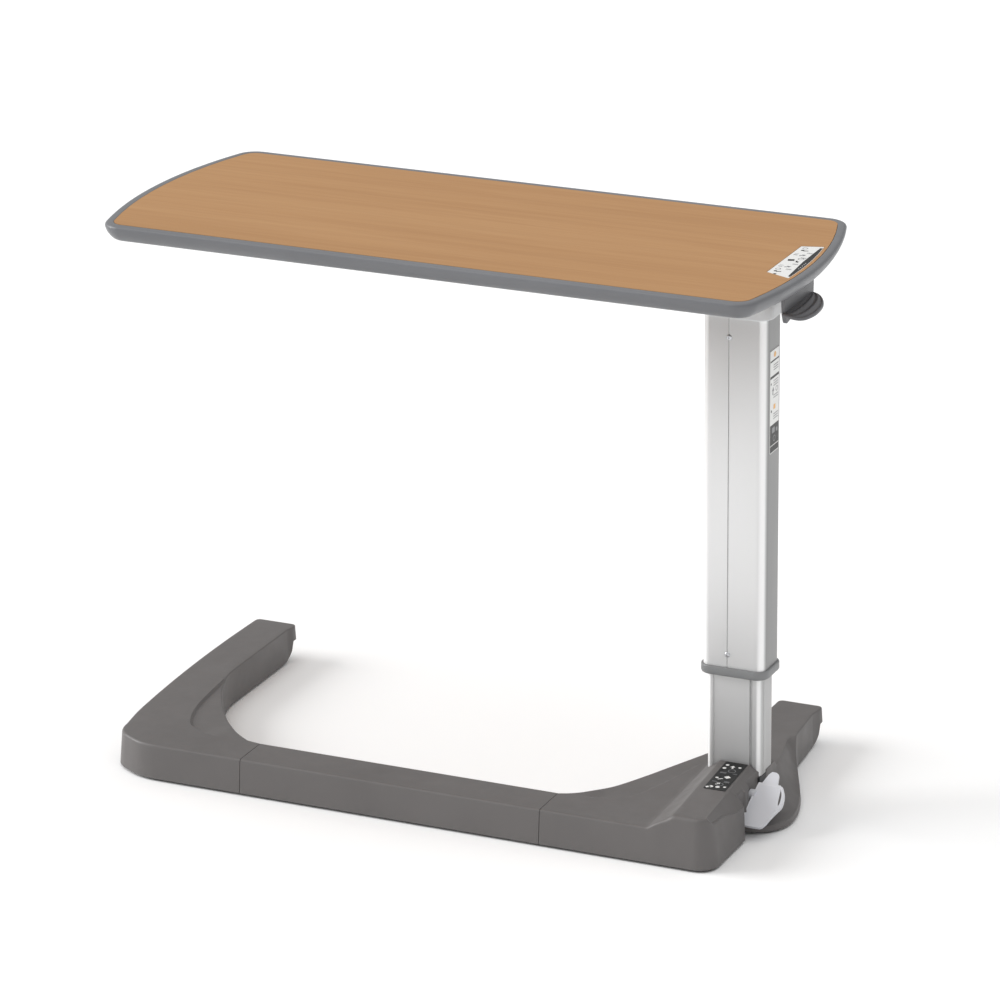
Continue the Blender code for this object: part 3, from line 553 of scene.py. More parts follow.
def make_left_cover():
    """Left corner and arm. Its inner corner has a sunken ledge whose step fades out on the bar."""
    step_line = curve_through([(-0.3905, 0.045), (-0.387, 0.012), (-0.377, -0.08), (-0.36, -0.135),
                               (-0.342, -0.154), (-0.321, -0.165), (-0.29, -0.17)])

    def height(x, y):
        sunk = smooth(0.0, 0.003, side_distance(x, y, step_line)) * (1 - smooth(-0.33, -0.295, x))
        return BASE_TOP - LEDGE_DEPTH * sunk * (1 - smooth(0.02, 0.045, y))

    outer = arc_through((-0.447, 0.221), (-0.4495, 0.085), (-0.4353, -0.17), 90)[:-1]
    front = curve_through([(-0.4353, -0.17), (-0.4345, -0.182), (-0.4315, -0.1925), (-0.4262, -0.201),
                           (-0.419, -0.208), (-0.409, -0.2145), (-0.3985, -0.2205), (-0.386, -0.2255),
                           (-0.37, -0.2283), (-0.35, BASE_FRONT)])
    seam_x = SEAM_LEFT - SEAM_GAP
    seam = [(seam_x, BASE_FRONT), (seam_x, BAR_BACK)]
    inner = curve_through([(-0.262, -0.1625), (-0.277, -0.152), (-0.295, -0.136), (-0.321, -0.104),
                           (-0.346, -0.067), (-0.3635, -0.036), (-0.3765, -0.008), (-0.3865, 0.03),
                           (-0.388, 0.07)])
    tip = [(-0.388, 0.205), (-0.3855, 0.215), *arc((-0.3935, 0.221), 0.008, 0, 90, 6)]
    tip += arc((-0.439, 0.221), 0.008, 90, 180, 6)[:-1]
    outline = dense(outer + front + seam + inner + tip, 0.0035)

    def crisp(x, y):
        return np.where(x < -0.4, smooth(-0.2, -0.12, y), (y > -0.17) * 1.0)

    def draft(x, y):
        return DRAFT * (1 - crisp(x, y)) + 0.001 * crisp(x, y)

    def radius(x, y):
        return ROUND * (1 - crisp(x, y)) + 0.002 * crisp(x, y)

    creases = [step_line, [(x + 0.0014, y + 0.0006) for x, y in step_line],
               [(x + 0.0029, y + 0.0011) for x, y in step_line]]
    skin = cover_skin(outline, [seam_x], height, draft, radius, creases)
    shell = thicken(skin, SHELL)
    tip_block(shell, -0.445, -0.3895)
    finish_mesh("left_cover_shell", shell, "base_grey", "base", ["left_base_cover"])


def make_centre_cover():
    left, right = SEAM_LEFT + SEAM_GAP, SEAM_RIGHT - SEAM_GAP
    outline = dense([(left, BASE_FRONT), (right, BASE_FRONT), (right, BAR_BACK), (left, BAR_BACK)], 0.01)

    def height(x, y):
        return np.full(np.shape(x), BASE_TOP)

    def draft(x, y):
        return np.where(y < -0.2, DRAFT, 0.001)

    def radius(x, y):
        return np.where(y < -0.2, ROUND, 0.002)

    skin = cover_skin(outline, [left, right], height, draft, radius, spacing=0.02)
    finish_mesh("centre_cover_shell", thicken(skin, SHELL), "base_grey", "base", ["centre_base_cover"])


TOE = [(0.366, 0.197), (0.369, 0.164), (0.3745, 0.118), (0.398, 0.064), (0.415, 0.027), (0.427, -0.011),
       (0.431, -0.04), (0.428, -0.062), (0.417, -0.08), (0.398, -0.092)]
RECESS_START = -0.118
RECESS_END = -0.044
BLOCK_REAR = 0.02


def make_right_cover():
    """Right corner and arm: a block round the column, a sloped ridge beside it, and a low round toe."""
    step_line = curve_through([(0.185, -0.168), (0.216, -0.163), (0.241, -0.157), (0.26, -0.137),
                               (0.276, -0.092), (0.29, -0.039), (0.299, 0.004), (0.305, 0.06),
                               (0.309, 0.13)])
    toe_line = curve_through(TOE[::-1])
    toe_x, toe_y = np.array(toe_line).T
    order = toe_y.argsort()

    def toe_edge(y):
        return np.interp(y, toe_y[order], toe_x[order])

    def ridge_foot(y):
        return 0.3115 - 0.007 * (y + 0.226) / 0.212

    def ridge_crest(y):
        return 0.343 - 0.01 * (y + 0.212) / 0.153

    def recess_edge(y):
        return 0.3868 - 0.0063 * smooth(-0.08, -0.073, y)

    def scoop_edge(y):
        return np.interp(y, [-0.05, -0.014, 0.02, 0.06, 0.1, 0.118],
                         [0.38, 0.385, 0.385, 0.377, 0.3675, 0.366])

    def towards_recess(y):
        return smooth(-0.18, -0.122, y)

    def toe_wall(x, y):
        return (y > RECESS_START - 0.001) & (y < 0.112) & (x > 0.372)

    def inner_wall(x, y):
        return (y > -0.17) & (x < 0.37)

    def block_side(y):
        return 0.3845 - 0.0125 * np.clip((y + 0.199) / 0.169, -0.1, 1.2)

    def height(x, y):
        sunk = smooth(0.0, 0.0024, side_distance(x, y, step_line)) * smooth(0.195, 0.225, x)
        sunk = sunk * (1 - smooth(0.08, 0.12, y))
        low = BASE_TOP - LEDGE_DEPTH * sunk
        slope = (x - ridge_foot(y)) / (ridge_crest(y) - ridge_foot(y))
        rise = BLOCK_TOP - BASE_TOP
        ridge = rise * np.clip(slope + 0.03 * np.sin(np.clip(slope, 0, 1) * 2 * math.pi), 0.0, 1.0)
        block = low + ridge * (1 - smooth(BLOCK_REAR - 0.012, BLOCK_REAR, y))
        over = np.maximum(x - block_side(y), 0.0)
        steep = np.interp(y, [-0.205, RECESS_START], [2.2, 1.0])
        gentle = 0.0165 / (0.3905 - block_side(y))
        fall = np.where(y < RECESS_START, steep, gentle) * over
        block = np.where((y < BLOCK_REAR - 0.001) & (over > 0), np.minimum(block, BLOCK_TOP - fall), block)
        edge = np.interp(y, [-0.2, 0.0, 0.02, 0.047, 0.077, 0.103, 0.118],
                         [0.011, 0.011, 0.0125, 0.019, 0.025, 0.036, BASE_TOP])
        across = np.clip((toe_edge(y) - x) / np.maximum(toe_edge(y) - scoop_edge(y), 0.001), 0.0, 1.0)
        bowl = across**1.6 * smooth(-0.046, -0.012, y)
        toe = edge + (BASE_TOP - edge) * bowl
        cliff = np.where(y > RECESS_END, scoop_edge(y), recess_edge(y) + 0.0005)
        on_toe = (x > cliff) & (y > RECESS_START)
        return np.where(on_toe, toe, np.maximum(block, BASE_TOP - LEDGE_DEPTH))

    def draft(x, y):
        raised = smooth(0.318, 0.345, x) * (y < RECESS_START) * (1 - towards_recess(y))
        crisp = toe_wall(x, y) | inner_wall(x, y) | (y > RECESS_START)
        side = (x > 0.374) * (1 - towards_recess(y))
        taper = np.where(x > 0.374, towards_recess(y), 0.0)
        lean = DRAFT * (1 - taper) + 0.001 * taper + 0.002 * raised + 0.0005 * side * smooth(-0.226, -0.2, y)
        return np.where(crisp, 0.001, lean)

    def radius(x, y):
        raised = smooth(0.318, 0.345, x) * (y < -0.2)
        turn = smooth(0.345, 0.398, x) * (y < RECESS_START)
        small = 0.003 - 0.002 * towards_recess(y)
        crisp = inner_wall(x, y) | (y > 0.112)
        full = (ROUND + 0.0035 * raised) * (1 - turn) + small * turn
        return np.where(toe_wall(x, y), 0.0015, np.where(crisp, 0.002, full))

    seam_x = SEAM_RIGHT + SEAM_GAP
    seam = [(seam_x, BAR_BACK), (seam_x, BASE_FRONT)]
    front = arc((0.372, -0.203), 0.026, -90, 0, 16)
    notch = [(0.398, RECESS_START - 0.001), (0.3868, RECESS_START), (0.3868, -0.096), (0.388, -0.0945)]
    tip = [(0.367, 0.205), (0.369, 0.215), *arc((0.361, 0.221), 0.008, 0, 90, 6)]
    tip += arc((0.314, 0.221), 0.008, 90, 180, 6)
    inner = curve_through([(0.306, 0.13), (0.303, 0.08), (0.286, 0.033), (0.262, -0.023), (0.243, -0.067),
                           (0.223, -0.108), (0.199, -0.1455), (0.188, -0.1565), (0.178, -0.1625)])
    outline = dense(seam[1:] + front + notch + toe_line + tip + inner + seam[:1], 0.0035)
    ys = np.arange(-0.2155, BLOCK_REAR, 0.004)
    lines = [step_line, [(x - 0.0014, y + 0.0006) for x, y in step_line],
             [(x - 0.0029, y + 0.0011) for x, y in step_line]]
    for shift in (-0.0008, 0.0008):
        lines.append([(ridge_foot(y) + shift, y) for y in ys])
        lines.append([(ridge_crest(y) + shift, y) for y in ys])
        lines.append([(block_side(y) + shift, y) for y in ys])
    recess = [-0.113 + 0.002 * i for i in range(35)]
    lines += [[(recess_edge(np.array([y]))[0] + shift, y) for y in recess] for shift in (0.0, 0.001)]
    scoop = np.arange(RECESS_END + 0.002, 0.112, 0.003)
    lines += [[(scoop_edge(y) + shift, y) for y in scoop] for shift in (-0.0006, 0.0006)]
    hole = rounded((INNER_HIGH.x - INNER_LOW.x + 0.0016, INNER_HIGH.y - INNER_LOW.y + 0.0016), 0.0098,
                   (COLUMN_X, TOP_Y), 6)
    skin = cover_skin(outline, [seam_x], height, draft, radius, lines, 0.0045, dense(hole, 0.004))
    shell = thicken(skin, THIN_SHELL)
    tip_block(shell, 0.3085, 0.364)
    finish_mesh("right_cover_shell", shell, "base_grey", "base", ["right_base_cover"])


# ---- the top ----
def end_x(y, inward=0.0):
    """How far the bowed right end stands from the middle of the top, at one y."""
    radius = END_RADIUS - inward
    return TOP_LENGTH / 2 - END_RADIUS + math.sqrt(radius**2 - (y - END_CENTRE_Y) ** 2)


def top_corner(side, inward):
    centre_y = TOP_Y + side * (TOP_WIDTH / 2 - CORNER_RADIUS)
    bow_x = TOP_LENGTH / 2 - END_RADIUS
    centre_x = bow_x + math.sqrt((END_RADIUS - CORNER_RADIUS) ** 2 - (centre_y - END_CENTRE_Y) ** 2)
    slope = math.degrees(math.atan2(centre_y - END_CENTRE_Y, centre_x - bow_x))
    start, end = (slope, 90.0) if side > 0 else (-90.0, slope)
    return arc((centre_x, centre_y), CORNER_RADIUS - inward, start, end, 24)


def top_outline(inward):
    front, back = top_corner(-1, inward), top_corner(1, inward)
    ys = [front[-1][1] + (back[0][1] - front[-1][1]) * i / 40 for i in range(1, 40)]
    right = front + [(end_x(y, inward), y) for y in ys] + back
    return right + [(-x, y) for x, y in reversed(right)]


def make_edge_band():
    """Moulded band round the panel: a low flat rim, a small round shoulder and a side drawn in below."""
    seat = 0.0183
    profile = [(0.0112, 0.001), (0.011, 0.0004), (0.0104, 0.0001), (0.0096, 0.0), (0.0044, 0.0),
               (0.003, 0.0002), (0.0018, 0.0007), (0.0009, 0.0015), (0.0003, 0.0026), (0.0, 0.004),
               (0.0002, 0.0056),
               (0.0009, 0.0078), (0.002, 0.0103), (0.0035, 0.0129), (0.0053, 0.0154), (0.0073, 0.0177),
               (0.0094, 0.0196), (0.0118, 0.021), (0.0145, 0.0218), (0.0175, 0.022), (0.024, 0.022),
               (0.024, seat), (0.011, seat)]
    bm = bmesh.new()
    rings = [[(x, y, TOP_HEIGHT - drop) for x, y in top_outline(inward)] for inward, drop in profile]
    add_rings(bm, rings, closed=True)
    finish_mesh("edge_band", bm, "edge_grey", "top", ["tabletop_edge"], sharp=50)


# ---- printed labels ----
def bar(centre, length, width, turn=0.0):
    """A rectangle, turned about its centre by some degrees."""
    c, s = math.cos(math.radians(turn)), math.sin(math.radians(turn))
    a, b = length / 2, width / 2
    corners = [(-a, -b), (a, -b), (a, b), (-a, b)]
    return [(centre[0] + c * u - s * v, centre[1] + s * u + c * v) for u, v in corners]


def cut_sheet(low, high, cut):
    """A rectangular label with its corners cut off."""
    (x0, y0), (x1, y1) = low, high
    return [(x0 + cut, y0), (x1 - cut, y0), (x1, y0 + cut), (x1, y1 - cut),
            (x1 - cut, y1), (x0 + cut, y1), (x0, y1 - cut), (x0, y0 + cut)]


def disc(centre, radius, sides=16):
    return arc(centre, radius, 0, 360 - 360 / sides, sides - 1)


def hoop(centre, radius, width, sides=20):
    """A ring as short bars, so that its middle stays open."""
    step = 2 * math.pi * radius / sides * 1.04
    places = [(centre[0] + radius * math.cos(t), centre[1] + radius * math.sin(t), math.degrees(t) + 90)
              for t in (2 * math.pi * i / sides for i in range(sides))]
    return [bar((x, y), step, width, turn) for x, y, turn in places]


def pointer(centre, size, turn):
    """An arrow: a triangle on a short shaft."""
    a = math.radians(turn)
    c, s = math.cos(a), math.sin(a)
    head = [(0.5, 0.0), (0.0, 0.38), (0.0, -0.38)]
    shape = [(centre[0] + size * (c * u - s * v), centre[1] + size * (s * u + c * v)) for u, v in head]
    shaft = bar((centre[0] - 0.25 * size * c, centre[1] - 0.25 * size * s), 0.5 * size, 0.26 * size, turn)
    return [shape, shaft]


def make_print(name, place, sheet, inks, low, high, body, slot, replaced):
    """A label: one thin sheet, with flat printed marks standing a hair above it."""
    bm = bmesh.new()
    materials = [slot]
    add_rings(bm, [[place(u, v, h) for u, v in sheet] for h in (low, high)])
    top = high
    for material, shapes in inks:
        if material not in materials:
            materials.append(material)
        index = materials.index(material)
        for shape in shapes:
            before = len(bm.faces)
            add_rings(bm, [[place(u, v, h) for u, v in shape] for h in (high - 0.00005, top + 0.00005)])
            bm.faces.ensure_lookup_table()
            for face in bm.faces[before:]:
                face.material_index = index
        top += 0.00002
    finish_mesh(name, bm, materials, body, replaced)


def make_top_label():
    ys = [-0.08 + 0.135 * i / 24 for i in range(25)]
    bow = [(end_x(y, RIM_WIDTH + 0.005), y) for y in ys]
    sheet = bow + [(0.4, 0.047), (0.4, -0.066)]
    inner_bow = [(end_x(y, RIM_WIDTH + 0.0055), y) for y in ys[1:-1]]
    chord = [(inner_bow[-1][0] - 0.003, 0.048), (0.4248, -0.012), (inner_bow[0][0] - 0.003, -0.073)]
    black = [inner_bow + chord]
    dark, grey = [], []
    for y, kind in ((-0.058, 0), (-0.038, 1), (-0.01, 2), (0.012, 1), (0.032, 0)):
        if kind == 0:
            dark += [disc((0.4075, y), 0.0022), bar((0.412, y - 0.001), 0.006, 0.0024, 20)]
            grey += hoop((0.4075, y + 0.009), 0.003, 0.0009)
        elif kind == 1:
            grey += [bar((0.406, y), 0.005, 0.0022), bar((0.406, y + 0.005), 0.005, 0.001)]
            grey += pointer((0.415, y + 0.001), 0.009, 35)
        else:
            dark += [bar((0.409, y), 0.008, 0.007, 18), *pointer((0.418, y - 0.004), 0.008, -60)]
            grey += hoop((0.4185, y + 0.008), 0.0034, 0.001)
    for y in (-0.048, -0.026, 0.001, 0.022):
        grey += [bar((0.42, y + 0.0014 * i), 0.007, 0.0006) for i in range(3)]
    dark.append(bar((0.4105, -0.0705), 0.006, 0.004, 62))
    marks = [bar((end_x(y, RIM_WIDTH + 0.0085), y), 0.0008, 0.0024)
             for y in (-0.04, -0.034, -0.028, -0.022, -0.016)]
    make_print("top_label_print", lambda u, v, h: (u, v, h), sheet,
               [("black_label", black + dark), ("grey_print", grey), ("white_label", marks)],
               TOP_HEIGHT - 0.001, TOP_HEIGHT - 0.00022, "top", "white_label", ["tabletop_label"])


def make_column_label():
    x = OUTER_HIGH.x
    low_y, high_y = -0.0275, 0.0015

    def place(u, v, h):
        return (x + h, u, v)

    sheet = cut_sheet((low_y, 0.475), (high_y, 0.607), 0.0015)
    mid = (low_y + high_y) / 2
    wide = high_y - low_y - 0.0012
    black = [bar((mid, z), wide, tall)
             for z, tall in ((0.4935, 0.035), (0.5925, 0.002), (0.572, 0.0032), (0.6065, 0.0008))]
    black += [disc((-0.024, 0.564), 0.0014), disc((-0.023, 0.529), 0.0016)]
    grey, white, amber = [], [], [disc((-0.0125, 0.5995), 0.0036), bar((-0.013, 0.533), 0.0062, 0.006)]
    for z in (0.5865, 0.5835, 0.5805, 0.5665, 0.5635, 0.5605, 0.548, 0.545, 0.524, 0.521, 0.518):
        grey.append(bar((mid + 0.004, z), 0.015, 0.0011))
    grey += pointer((-0.018, 0.554), 0.01, 80) + hoop((-0.006, 0.5545), 0.003, 0.0009)
    grey += [bar((-0.016, 0.5035), 0.009, 0.007), bar((-0.005, 0.502), 0.005, 0.005)]
    grey += hoop((-0.013, 0.4925), 0.0034, 0.001)
    white.append(bar((mid, 0.4845), wide, 0.001))
    make_print("column_label_print", place, sheet,
               [("black_label", black), ("grey_print", grey), ("white_label", white), ("amber_print", amber)],
               0.0, 0.0003, "top", "white_label", ["column_label"])


def make_base_label():
    low_x, high_x, low_y, high_y = 0.3432, 0.3722, -0.1275, -0.0385

    def place(u, v, h):
        return (u + (v + 0.087) * -0.06, v, BLOCK_TOP + h)

    sheet = cut_sheet((low_x, low_y), (high_x, high_y), 0.0012)
    dots = [(0.3485, -0.0485, 0.0024), (0.3478, -0.059, 0.0026), (0.366, -0.0515, 0.002),
            (0.3487, -0.0905, 0.0021), (0.3505, -0.1195, 0.003), (0.359, -0.1185, 0.0028),
            (0.3675, -0.116, 0.002)]
    white = [disc((x, y), radius) for x, y, radius in dots]
    white += [bar((0.3475, -0.1215), 0.006, 0.004, 40), bar((0.361, -0.0855), 0.0064, 0.0064, 45),
              bar((0.354, -0.093), 0.007, 0.0018, 35)]
    white += pointer((0.357, -0.053), 0.009, 100) + pointer((0.356, -0.108), 0.008, 60)
    grey = hoop((0.36, -0.065), 0.0045, 0.001) + hoop((0.359, -0.11), 0.0042, 0.0009)
    grey += [bar((x, y), length, 0.0012)
             for x, y, length in ((0.351, -0.072, 0.008), (0.351, -0.0745, 0.008), (0.365, -0.099, 0.007),
                                  (0.365, -0.1015, 0.007), (0.35, -0.103, 0.007), (0.3665, -0.073, 0.006))]
    make_print("base_label_print", place, sheet, [("white_label", white), ("grey_print", grey)],
               0.0, 0.00045, "base", "black_label", ["base_label"])


# ---- the column ----
def tube(bm, size, radius, wall, low, high, front=(), side=()):
    """A rounded rectangular tube. front and side list (place, depth) points cut into those two faces."""
    hx, hy = size[0] / 2, size[1] / 2
    rings = []
    for inner in (False, True):
        cut = wall if inner else 0.0
        r = radius - cut
        ring = []
        for cx, cy, start in ((-1, -1, 180), (1, -1, 270), (1, 1, 0), (-1, 1, 90)):
            ring += arc((cx * (hx - radius), cy * (hy - radius)), r, start, start + 90, 12)
            if (cx, cy) == (-1, -1):
                ring += [(x, -hy + (cut if inner else depth)) for x, depth in front]
            if (cx, cy) == (1, -1):
                ring += [(hx - (cut if inner else depth), y) for y, depth in side]
        rings.append([(COLUMN_X + x, TOP_Y + y) for x, y in ring])
    outer, inner = rings
    chamfer = 0.0004
    middle = Vector((COLUMN_X, TOP_Y))

    def pulled(ring):
        return [tuple(Vector(p) + (middle - Vector(p)).normalized() * chamfer) for p in ring]

    add_rings(bm, [[(x, y, low) for x, y in pulled(outer)], [(x, y, low + chamfer) for x, y in outer],
                   [(x, y, high - chamfer) for x, y in outer], [(x, y, high) for x, y in pulled(outer)],
                   [(x, y, high) for x, y in inner], [(x, y, low) for x, y in inner]], closed=True)


def make_columns():
    bm = bmesh.new()
    groove = [(-0.0068, 0.0), (-0.0066, 0.0009), (-0.0054, 0.0009), (-0.0052, 0.0)]
    size = (OUTER_HIGH.x - OUTER_LOW.x, OUTER_HIGH.y - OUTER_LOW.y)
    tube(bm, size, 0.013, 0.0028, OUTER_LOW.z, OUTER_HIGH.z, front=groove)
    finish_mesh("outer_extrusion", bm, "aluminium", "top", ["outer_column"], sharp=40)

    bm = bmesh.new()
    front = [(-0.027, 0.0), (-0.0266, 0.0012), (0.0213, 0.0012), (0.0217, 0.0035), (0.0252, 0.0035),
             (0.0256, 0.0)]
    side = [(-0.0125, 0.0), (-0.0123, 0.0014), (-0.0104, 0.0014), (-0.0102, 0.0)]
    size = (INNER_HIGH.x - INNER_LOW.x, INNER_HIGH.y - INNER_LOW.y)
    tube(bm, size, 0.009, 0.0042, INNER_LOW.z, INNER_HIGH.z, front=front, side=side)
    finish_mesh("inner_extrusion", bm, "inner_aluminium", "base", ["inner_column"], sharp=40)

    for name, z in (("upper_column_screw", 0.623), ("lower_column_screw", 0.212)):
        bm = bmesh.new()
        face = OUTER_LOW.y
        x = COLUMN_X - 0.006
        rings = [[(x + u, face + depth, z + v) for u, v in arc((0, 0), radius, 0, 345, 23)]
                 for radius, depth in ((0.0036, 0.0012), (0.0036, -0.0001), (0.0034, -0.0006),
                                       (0.0026, -0.0011), (0.0012, -0.0013), (0.001, -0.0003))]
        add_rings(bm, rings)
        finish_mesh(name + "_head", bm, "steel", "top", [name], sharp=50)


def make_collar():
    """Moulded collar at the foot of the outer column, with a rounded upper and lower edge."""
    low, high = COLLAR_LOW.z, COLLAR_HIGH.z
    size = (COLLAR_HIGH.x - COLLAR_LOW.x, COLLAR_HIGH.y - COLLAR_LOW.y)
    outline = rounded(size, 0.016, (COLUMN_X, TOP_Y), 12)
    profile = [(0.0052, high - 0.0018), (0.0027, high - 0.0002), (0.0018, high), (0.0009, high - 0.0003),
               (0.0003, high - 0.001), (0.0, high - 0.002), (0.0, low + 0.0022), (0.0006, low + 0.0008),
               (0.0018, low), (0.0078, low), (0.008, low + 0.0004), (0.008, low + 0.0026),
               (0.0028, low + 0.0026)]
    bm = bmesh.new()
    add_rings(bm, [[(x, y, z) for x, y in offset(outline, inward)] for inward, z in profile], closed=True)
    finish_mesh("collar_moulding", bm, "collar_grey", "top", ["column_collar"], sharp=50)


# ---- the two controls ----
PEDAL_PIVOT = Vector((0.388, -0.062, 0.04))
PEDAL_TILT = math.radians(26)
LEVER_PIVOT = Vector((0.402, -0.013, 0.69))


def cylinder_x(bm, centre, radius, low, high, round_off):
    """A cylinder along X, rounded at its low end."""
    steps = [(low, round_off), (low + round_off * 0.3, round_off * 0.3), (low + round_off, 0.0), (high, 0.0)]
    rings = [[(x, centre[0] + (radius - cut) * math.cos(t), centre[1] + (radius - cut) * math.sin(t))
              for t in (2 * math.pi * i / 28 for i in range(28))] for x, cut in steps]
    add_rings(bm, rings)


def make_pedal():
    """A tilted foot plate with a rolled rim, an open ear at its right, a tab above and a boss at its left."""
    along = Vector((0.0, -math.cos(PEDAL_TILT), -math.sin(PEDAL_TILT)))
    up = Vector((0.0, -math.sin(PEDAL_TILT), math.cos(PEDAL_TILT)))
    origin = PEDAL_PIVOT + Vector((0.0, 0.013, 0.0115))

    def on_plate(x, s, rise):
        return tuple(origin + Vector((x, 0.0, 0.0)) + along * s + up * rise)

    plate = curve_through([(0.002, 0.001), (0.0015, 0.02), (0.0012, 0.05), (0.0014, 0.062)], 0.003)
    plate += curve_through([(0.0022, 0.0655), (0.005, 0.0675), (0.015, 0.068), (0.0245, 0.0678)], 0.002)
    plate += curve_through([(0.0272, 0.066), (0.03, 0.06), (0.0316, 0.054), (0.0345, 0.045),
                            (0.0372, 0.038)], 0.002)
    plate += curve_through([(0.033, 0.03), (0.031, 0.02), (0.029, 0.008), (0.027, 0.001)], 0.002)
    plate = plate[::-1]
    rings = []
    for inward, rise in ((0.0006, -0.006), (0.0, -0.0052), (0.0, -0.0014), (0.0004, -0.0006),
                         (0.0012, -0.0001), (0.0022, 0.0), (0.0026, -0.0003)):
        rings.append([on_plate(x, s, rise) for x, s in offset(plate, -inward)])
    bm = bmesh.new()
    add_rings(bm, rings)

    outer = curve_through([(0.027, -0.0005), (0.032, 0.001), (0.0368, 0.0085), (0.0398, 0.019),
                           (0.0408, 0.029), (0.0395, 0.0345), (0.0365, 0.04)], 0.0025)
    count = len(outer)
    ear = []
    for i, (x, s) in enumerate(outer):
        before, after = Vector(outer[max(i - 1, 0)]), Vector(outer[min(i + 1, count - 1)])
        ahead = (after - before).normalized()
        into = Vector((-ahead.y, ahead.x)) * 0.0034
        ear.append([on_plate(x, s, 0.0002), on_plate(x + into.x * 0.5, s + into.y * 0.5, 0.0009),
                    on_plate(x + into.x, s + into.y, 0.0002), on_plate(x + into.x, s + into.y, -0.0058),
                    on_plate(x, s, -0.0058)])
    add_rings(bm, ear)

    tab = [(0.003, 0.002, 0.0), (0.0089, -0.0145, 0.0026), (0.012, -0.0188, 0.0032), (0.018, -0.0184, 0.0032),
           (0.0216, -0.016, 0.0028), (0.025, 0.002, 0.0)]
    add_rings(bm, [[on_plate(x, s, rise + shift) for x, s, rise in tab] for shift in (-0.005, -0.0006)])
    left, right = PEDAL_PIVOT.x - 0.0065, PEDAL_PIVOT.x + 0.002
    cylinder_x(bm, (PEDAL_PIVOT.y, PEDAL_PIVOT.z), 0.0072, left, right, 0.0012)
    finish_mesh("pedal_moulding", bm, "pedal_grey", "brake_pedal", ["brake_pedal"], sharp=40)


def make_lever():
    """Squeeze lever: a hanging plate, and a rounded wing that carries three raised ribs."""
    px, py, pz = LEVER_PIVOT
    bm = bmesh.new()
    plate = [(-0.048, 0.0), (-0.046, -0.024)] + arc((-0.037, -0.031), 0.0058, 195, 255, 8)
    plate += [(-0.03, -0.035), (-0.005, -0.03), (0.04, -0.024)] + arc((0.045, -0.02), 0.0045, -60, 0, 6)
    plate += [(0.05, 0.0)]
    rings = []
    for x, inward in ((0.416, 0.0005), (0.4165, 0.0), (0.4203, 0.0), (0.4208, 0.0003), (0.421, 0.0009)):
        rings.append([(x, py + y, pz + z) for y, z in offset(plate, inward)])
    add_rings(bm, rings)

    root = 0.4185
    rim = curve_through([(root, -0.05), (0.435, -0.05), (0.444, -0.044), (0.4485, -0.025), (0.4488, -0.004),
                         (0.4455, 0.018), (0.438, 0.036), (0.429, 0.046), (root, 0.048)], 0.0025)
    rows = 30
    upper, under = [], []
    for row in range(rows + 1):
        share = row / rows
        wave = 0.0011 * math.cos(2 * math.pi * 3.2 * (1 - share)) * smooth(0.1, 0.35, share)
        ribs = wave if row < rows else 0.0
        tops, bottoms = [], []
        for i, (x, y) in enumerate(rim):
            out = (x - root) * share
            fall = -0.0208 - 0.17 * out
            edge = 0.0016 * smooth(0.9, 1.0, share)
            strength = math.sin(math.pi * i / (len(rim) - 1)) ** 0.5
            tops.append((root + out, py + y * (0.86 + 0.14 * share), pz + fall + ribs * strength - edge))
            bottoms.append((root + out, py + y * (0.86 + 0.14 * share), pz + fall - 0.0042 + edge * 0.6))
        upper.append(tops)
        under.append(bottoms)
    grids = [[[bm.verts.new(p) for p in line] for line in sheet] for sheet in (upper, under)]
    for grid in grids:
        for first, second in zip(grid, grid[1:]):
            bridge(bm, first, second, closed=False)
    bridge(bm, grids[0][-1], grids[1][-1], closed=False)
    bridge(bm, grids[0][0], grids[1][0], closed=False)
    for end in (0, -1):
        bridge(bm, [line[end] for line in grids[0]], [line[end] for line in grids[1]], closed=False)

    low, high = (px - 0.062, py - 0.01, pz - 0.0106), (0.418, py + 0.01, pz - 0.006)
    arm = [(low[0], low[1]), (high[0], low[1]), (high[0], high[1]), (low[0], high[1])]
    add_rings(bm, [[(x, y, z) for x, y in arm] for z in (low[2], high[2])])
    turns = [math.pi * i / 14 for i in range(28)]
    rings = [[(px + 0.0065 * math.cos(t), y, pz + 0.0065 * math.sin(t)) for t in turns]
             for y in (py - 0.012, py + 0.012)]
    add_rings(bm, rings)
    finish_mesh("lever_moulding", bm, "lever_grey", "release_lever", ["release_lever"], sharp=45)


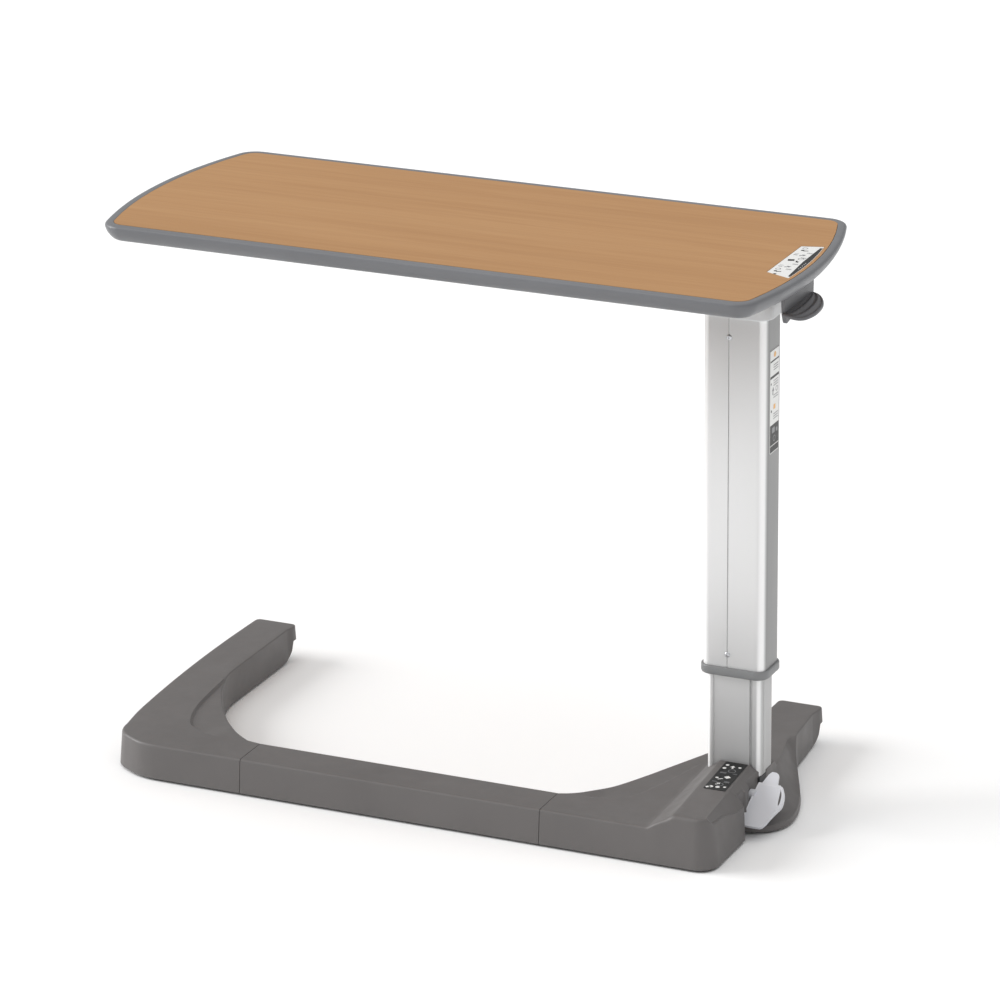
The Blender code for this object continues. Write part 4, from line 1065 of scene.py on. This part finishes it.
# ---- studio ----
def make_camera():
    """A long lens: turned to the left, tilted down, rolled a little."""
    azimuth, elevation, roll = math.radians(24.394), math.radians(19.689), math.radians(-0.543)
    right = Vector((math.cos(azimuth), math.sin(azimuth), 0.0))
    ahead = Vector((-math.sin(azimuth) * math.cos(elevation), math.cos(azimuth) * math.cos(elevation),
                    -math.sin(elevation)))
    up = right.cross(ahead)
    rolled_right = math.cos(roll) * right + math.sin(roll) * up
    rolled_up = math.cos(roll) * up - math.sin(roll) * right
    data = bpy.data.cameras.new("camera")
    data.lens = 190.4
    data.sensor_width = 36.0
    data.clip_end = 60.0
    camera = bpy.data.objects.new("camera", data)
    bpy.context.scene.collection.objects.link(camera)
    turn = Matrix((rolled_right, rolled_up, -ahead)).transposed()
    camera.matrix_world = Matrix.Translation((2.5975, -5.6891, 2.5914)) @ turn.to_4x4()
    bpy.context.scene.camera = camera


def add_light(name, come_from, strength, spread):
    """A very broad lamp far away, so that its light is even and its shadows soft."""
    data = bpy.data.lights.new(name, "SUN")
    data.energy = strength
    data.angle = math.radians(spread)
    light = bpy.data.objects.new(name, data)
    light.location = Vector(come_from) * 3.0
    light.rotation_euler = Vector(come_from).to_track_quat("Z", "Y").to_euler()
    bpy.context.scene.collection.objects.link(light)


def make_studio():
    bpy.context.scene.view_settings.view_transform = "Standard"
    world = bpy.data.worlds.new("studio")
    world.use_nodes = True
    background = world.node_tree.nodes["Background"]
    background.inputs["Color"].default_value = (1.0, 1.0, 1.0, 1.0)
    background.inputs["Strength"].default_value = 0.52
    bpy.context.scene.world = world
    add_light("overhead", (0.1, -0.1, 1.0), 1.05, 80)
    add_light("left", (-0.85, -0.22, 0.42), 2.3, 36)
    bm = bmesh.new()
    bmesh.ops.create_grid(bm, x_segments=6, y_segments=6, size=15.0)
    mesh = bpy.data.meshes.new("floor")
    bm.to_mesh(mesh)
    bm.free()
    floor = bpy.data.objects.new("floor", mesh)
    bpy.context.scene.collection.objects.link(floor)
    m = Nodes("floor_white")
    m.shader.inputs["Base Color"].default_value = (0.99, 0.99, 0.99, 1.0)
    m.shader.inputs["Roughness"].default_value = 0.9
    m.shader.inputs["Specular IOR Level"].default_value = 0.0
    mesh.materials.append(m.material)


dress_nodes()
make_left_cover()
make_centre_cover()
make_right_cover()
make_edge_band()
make_top_label()
make_column_label()
make_base_label()
make_columns()
make_collar()
make_pedal()
make_lever()
make_camera()
make_studio()
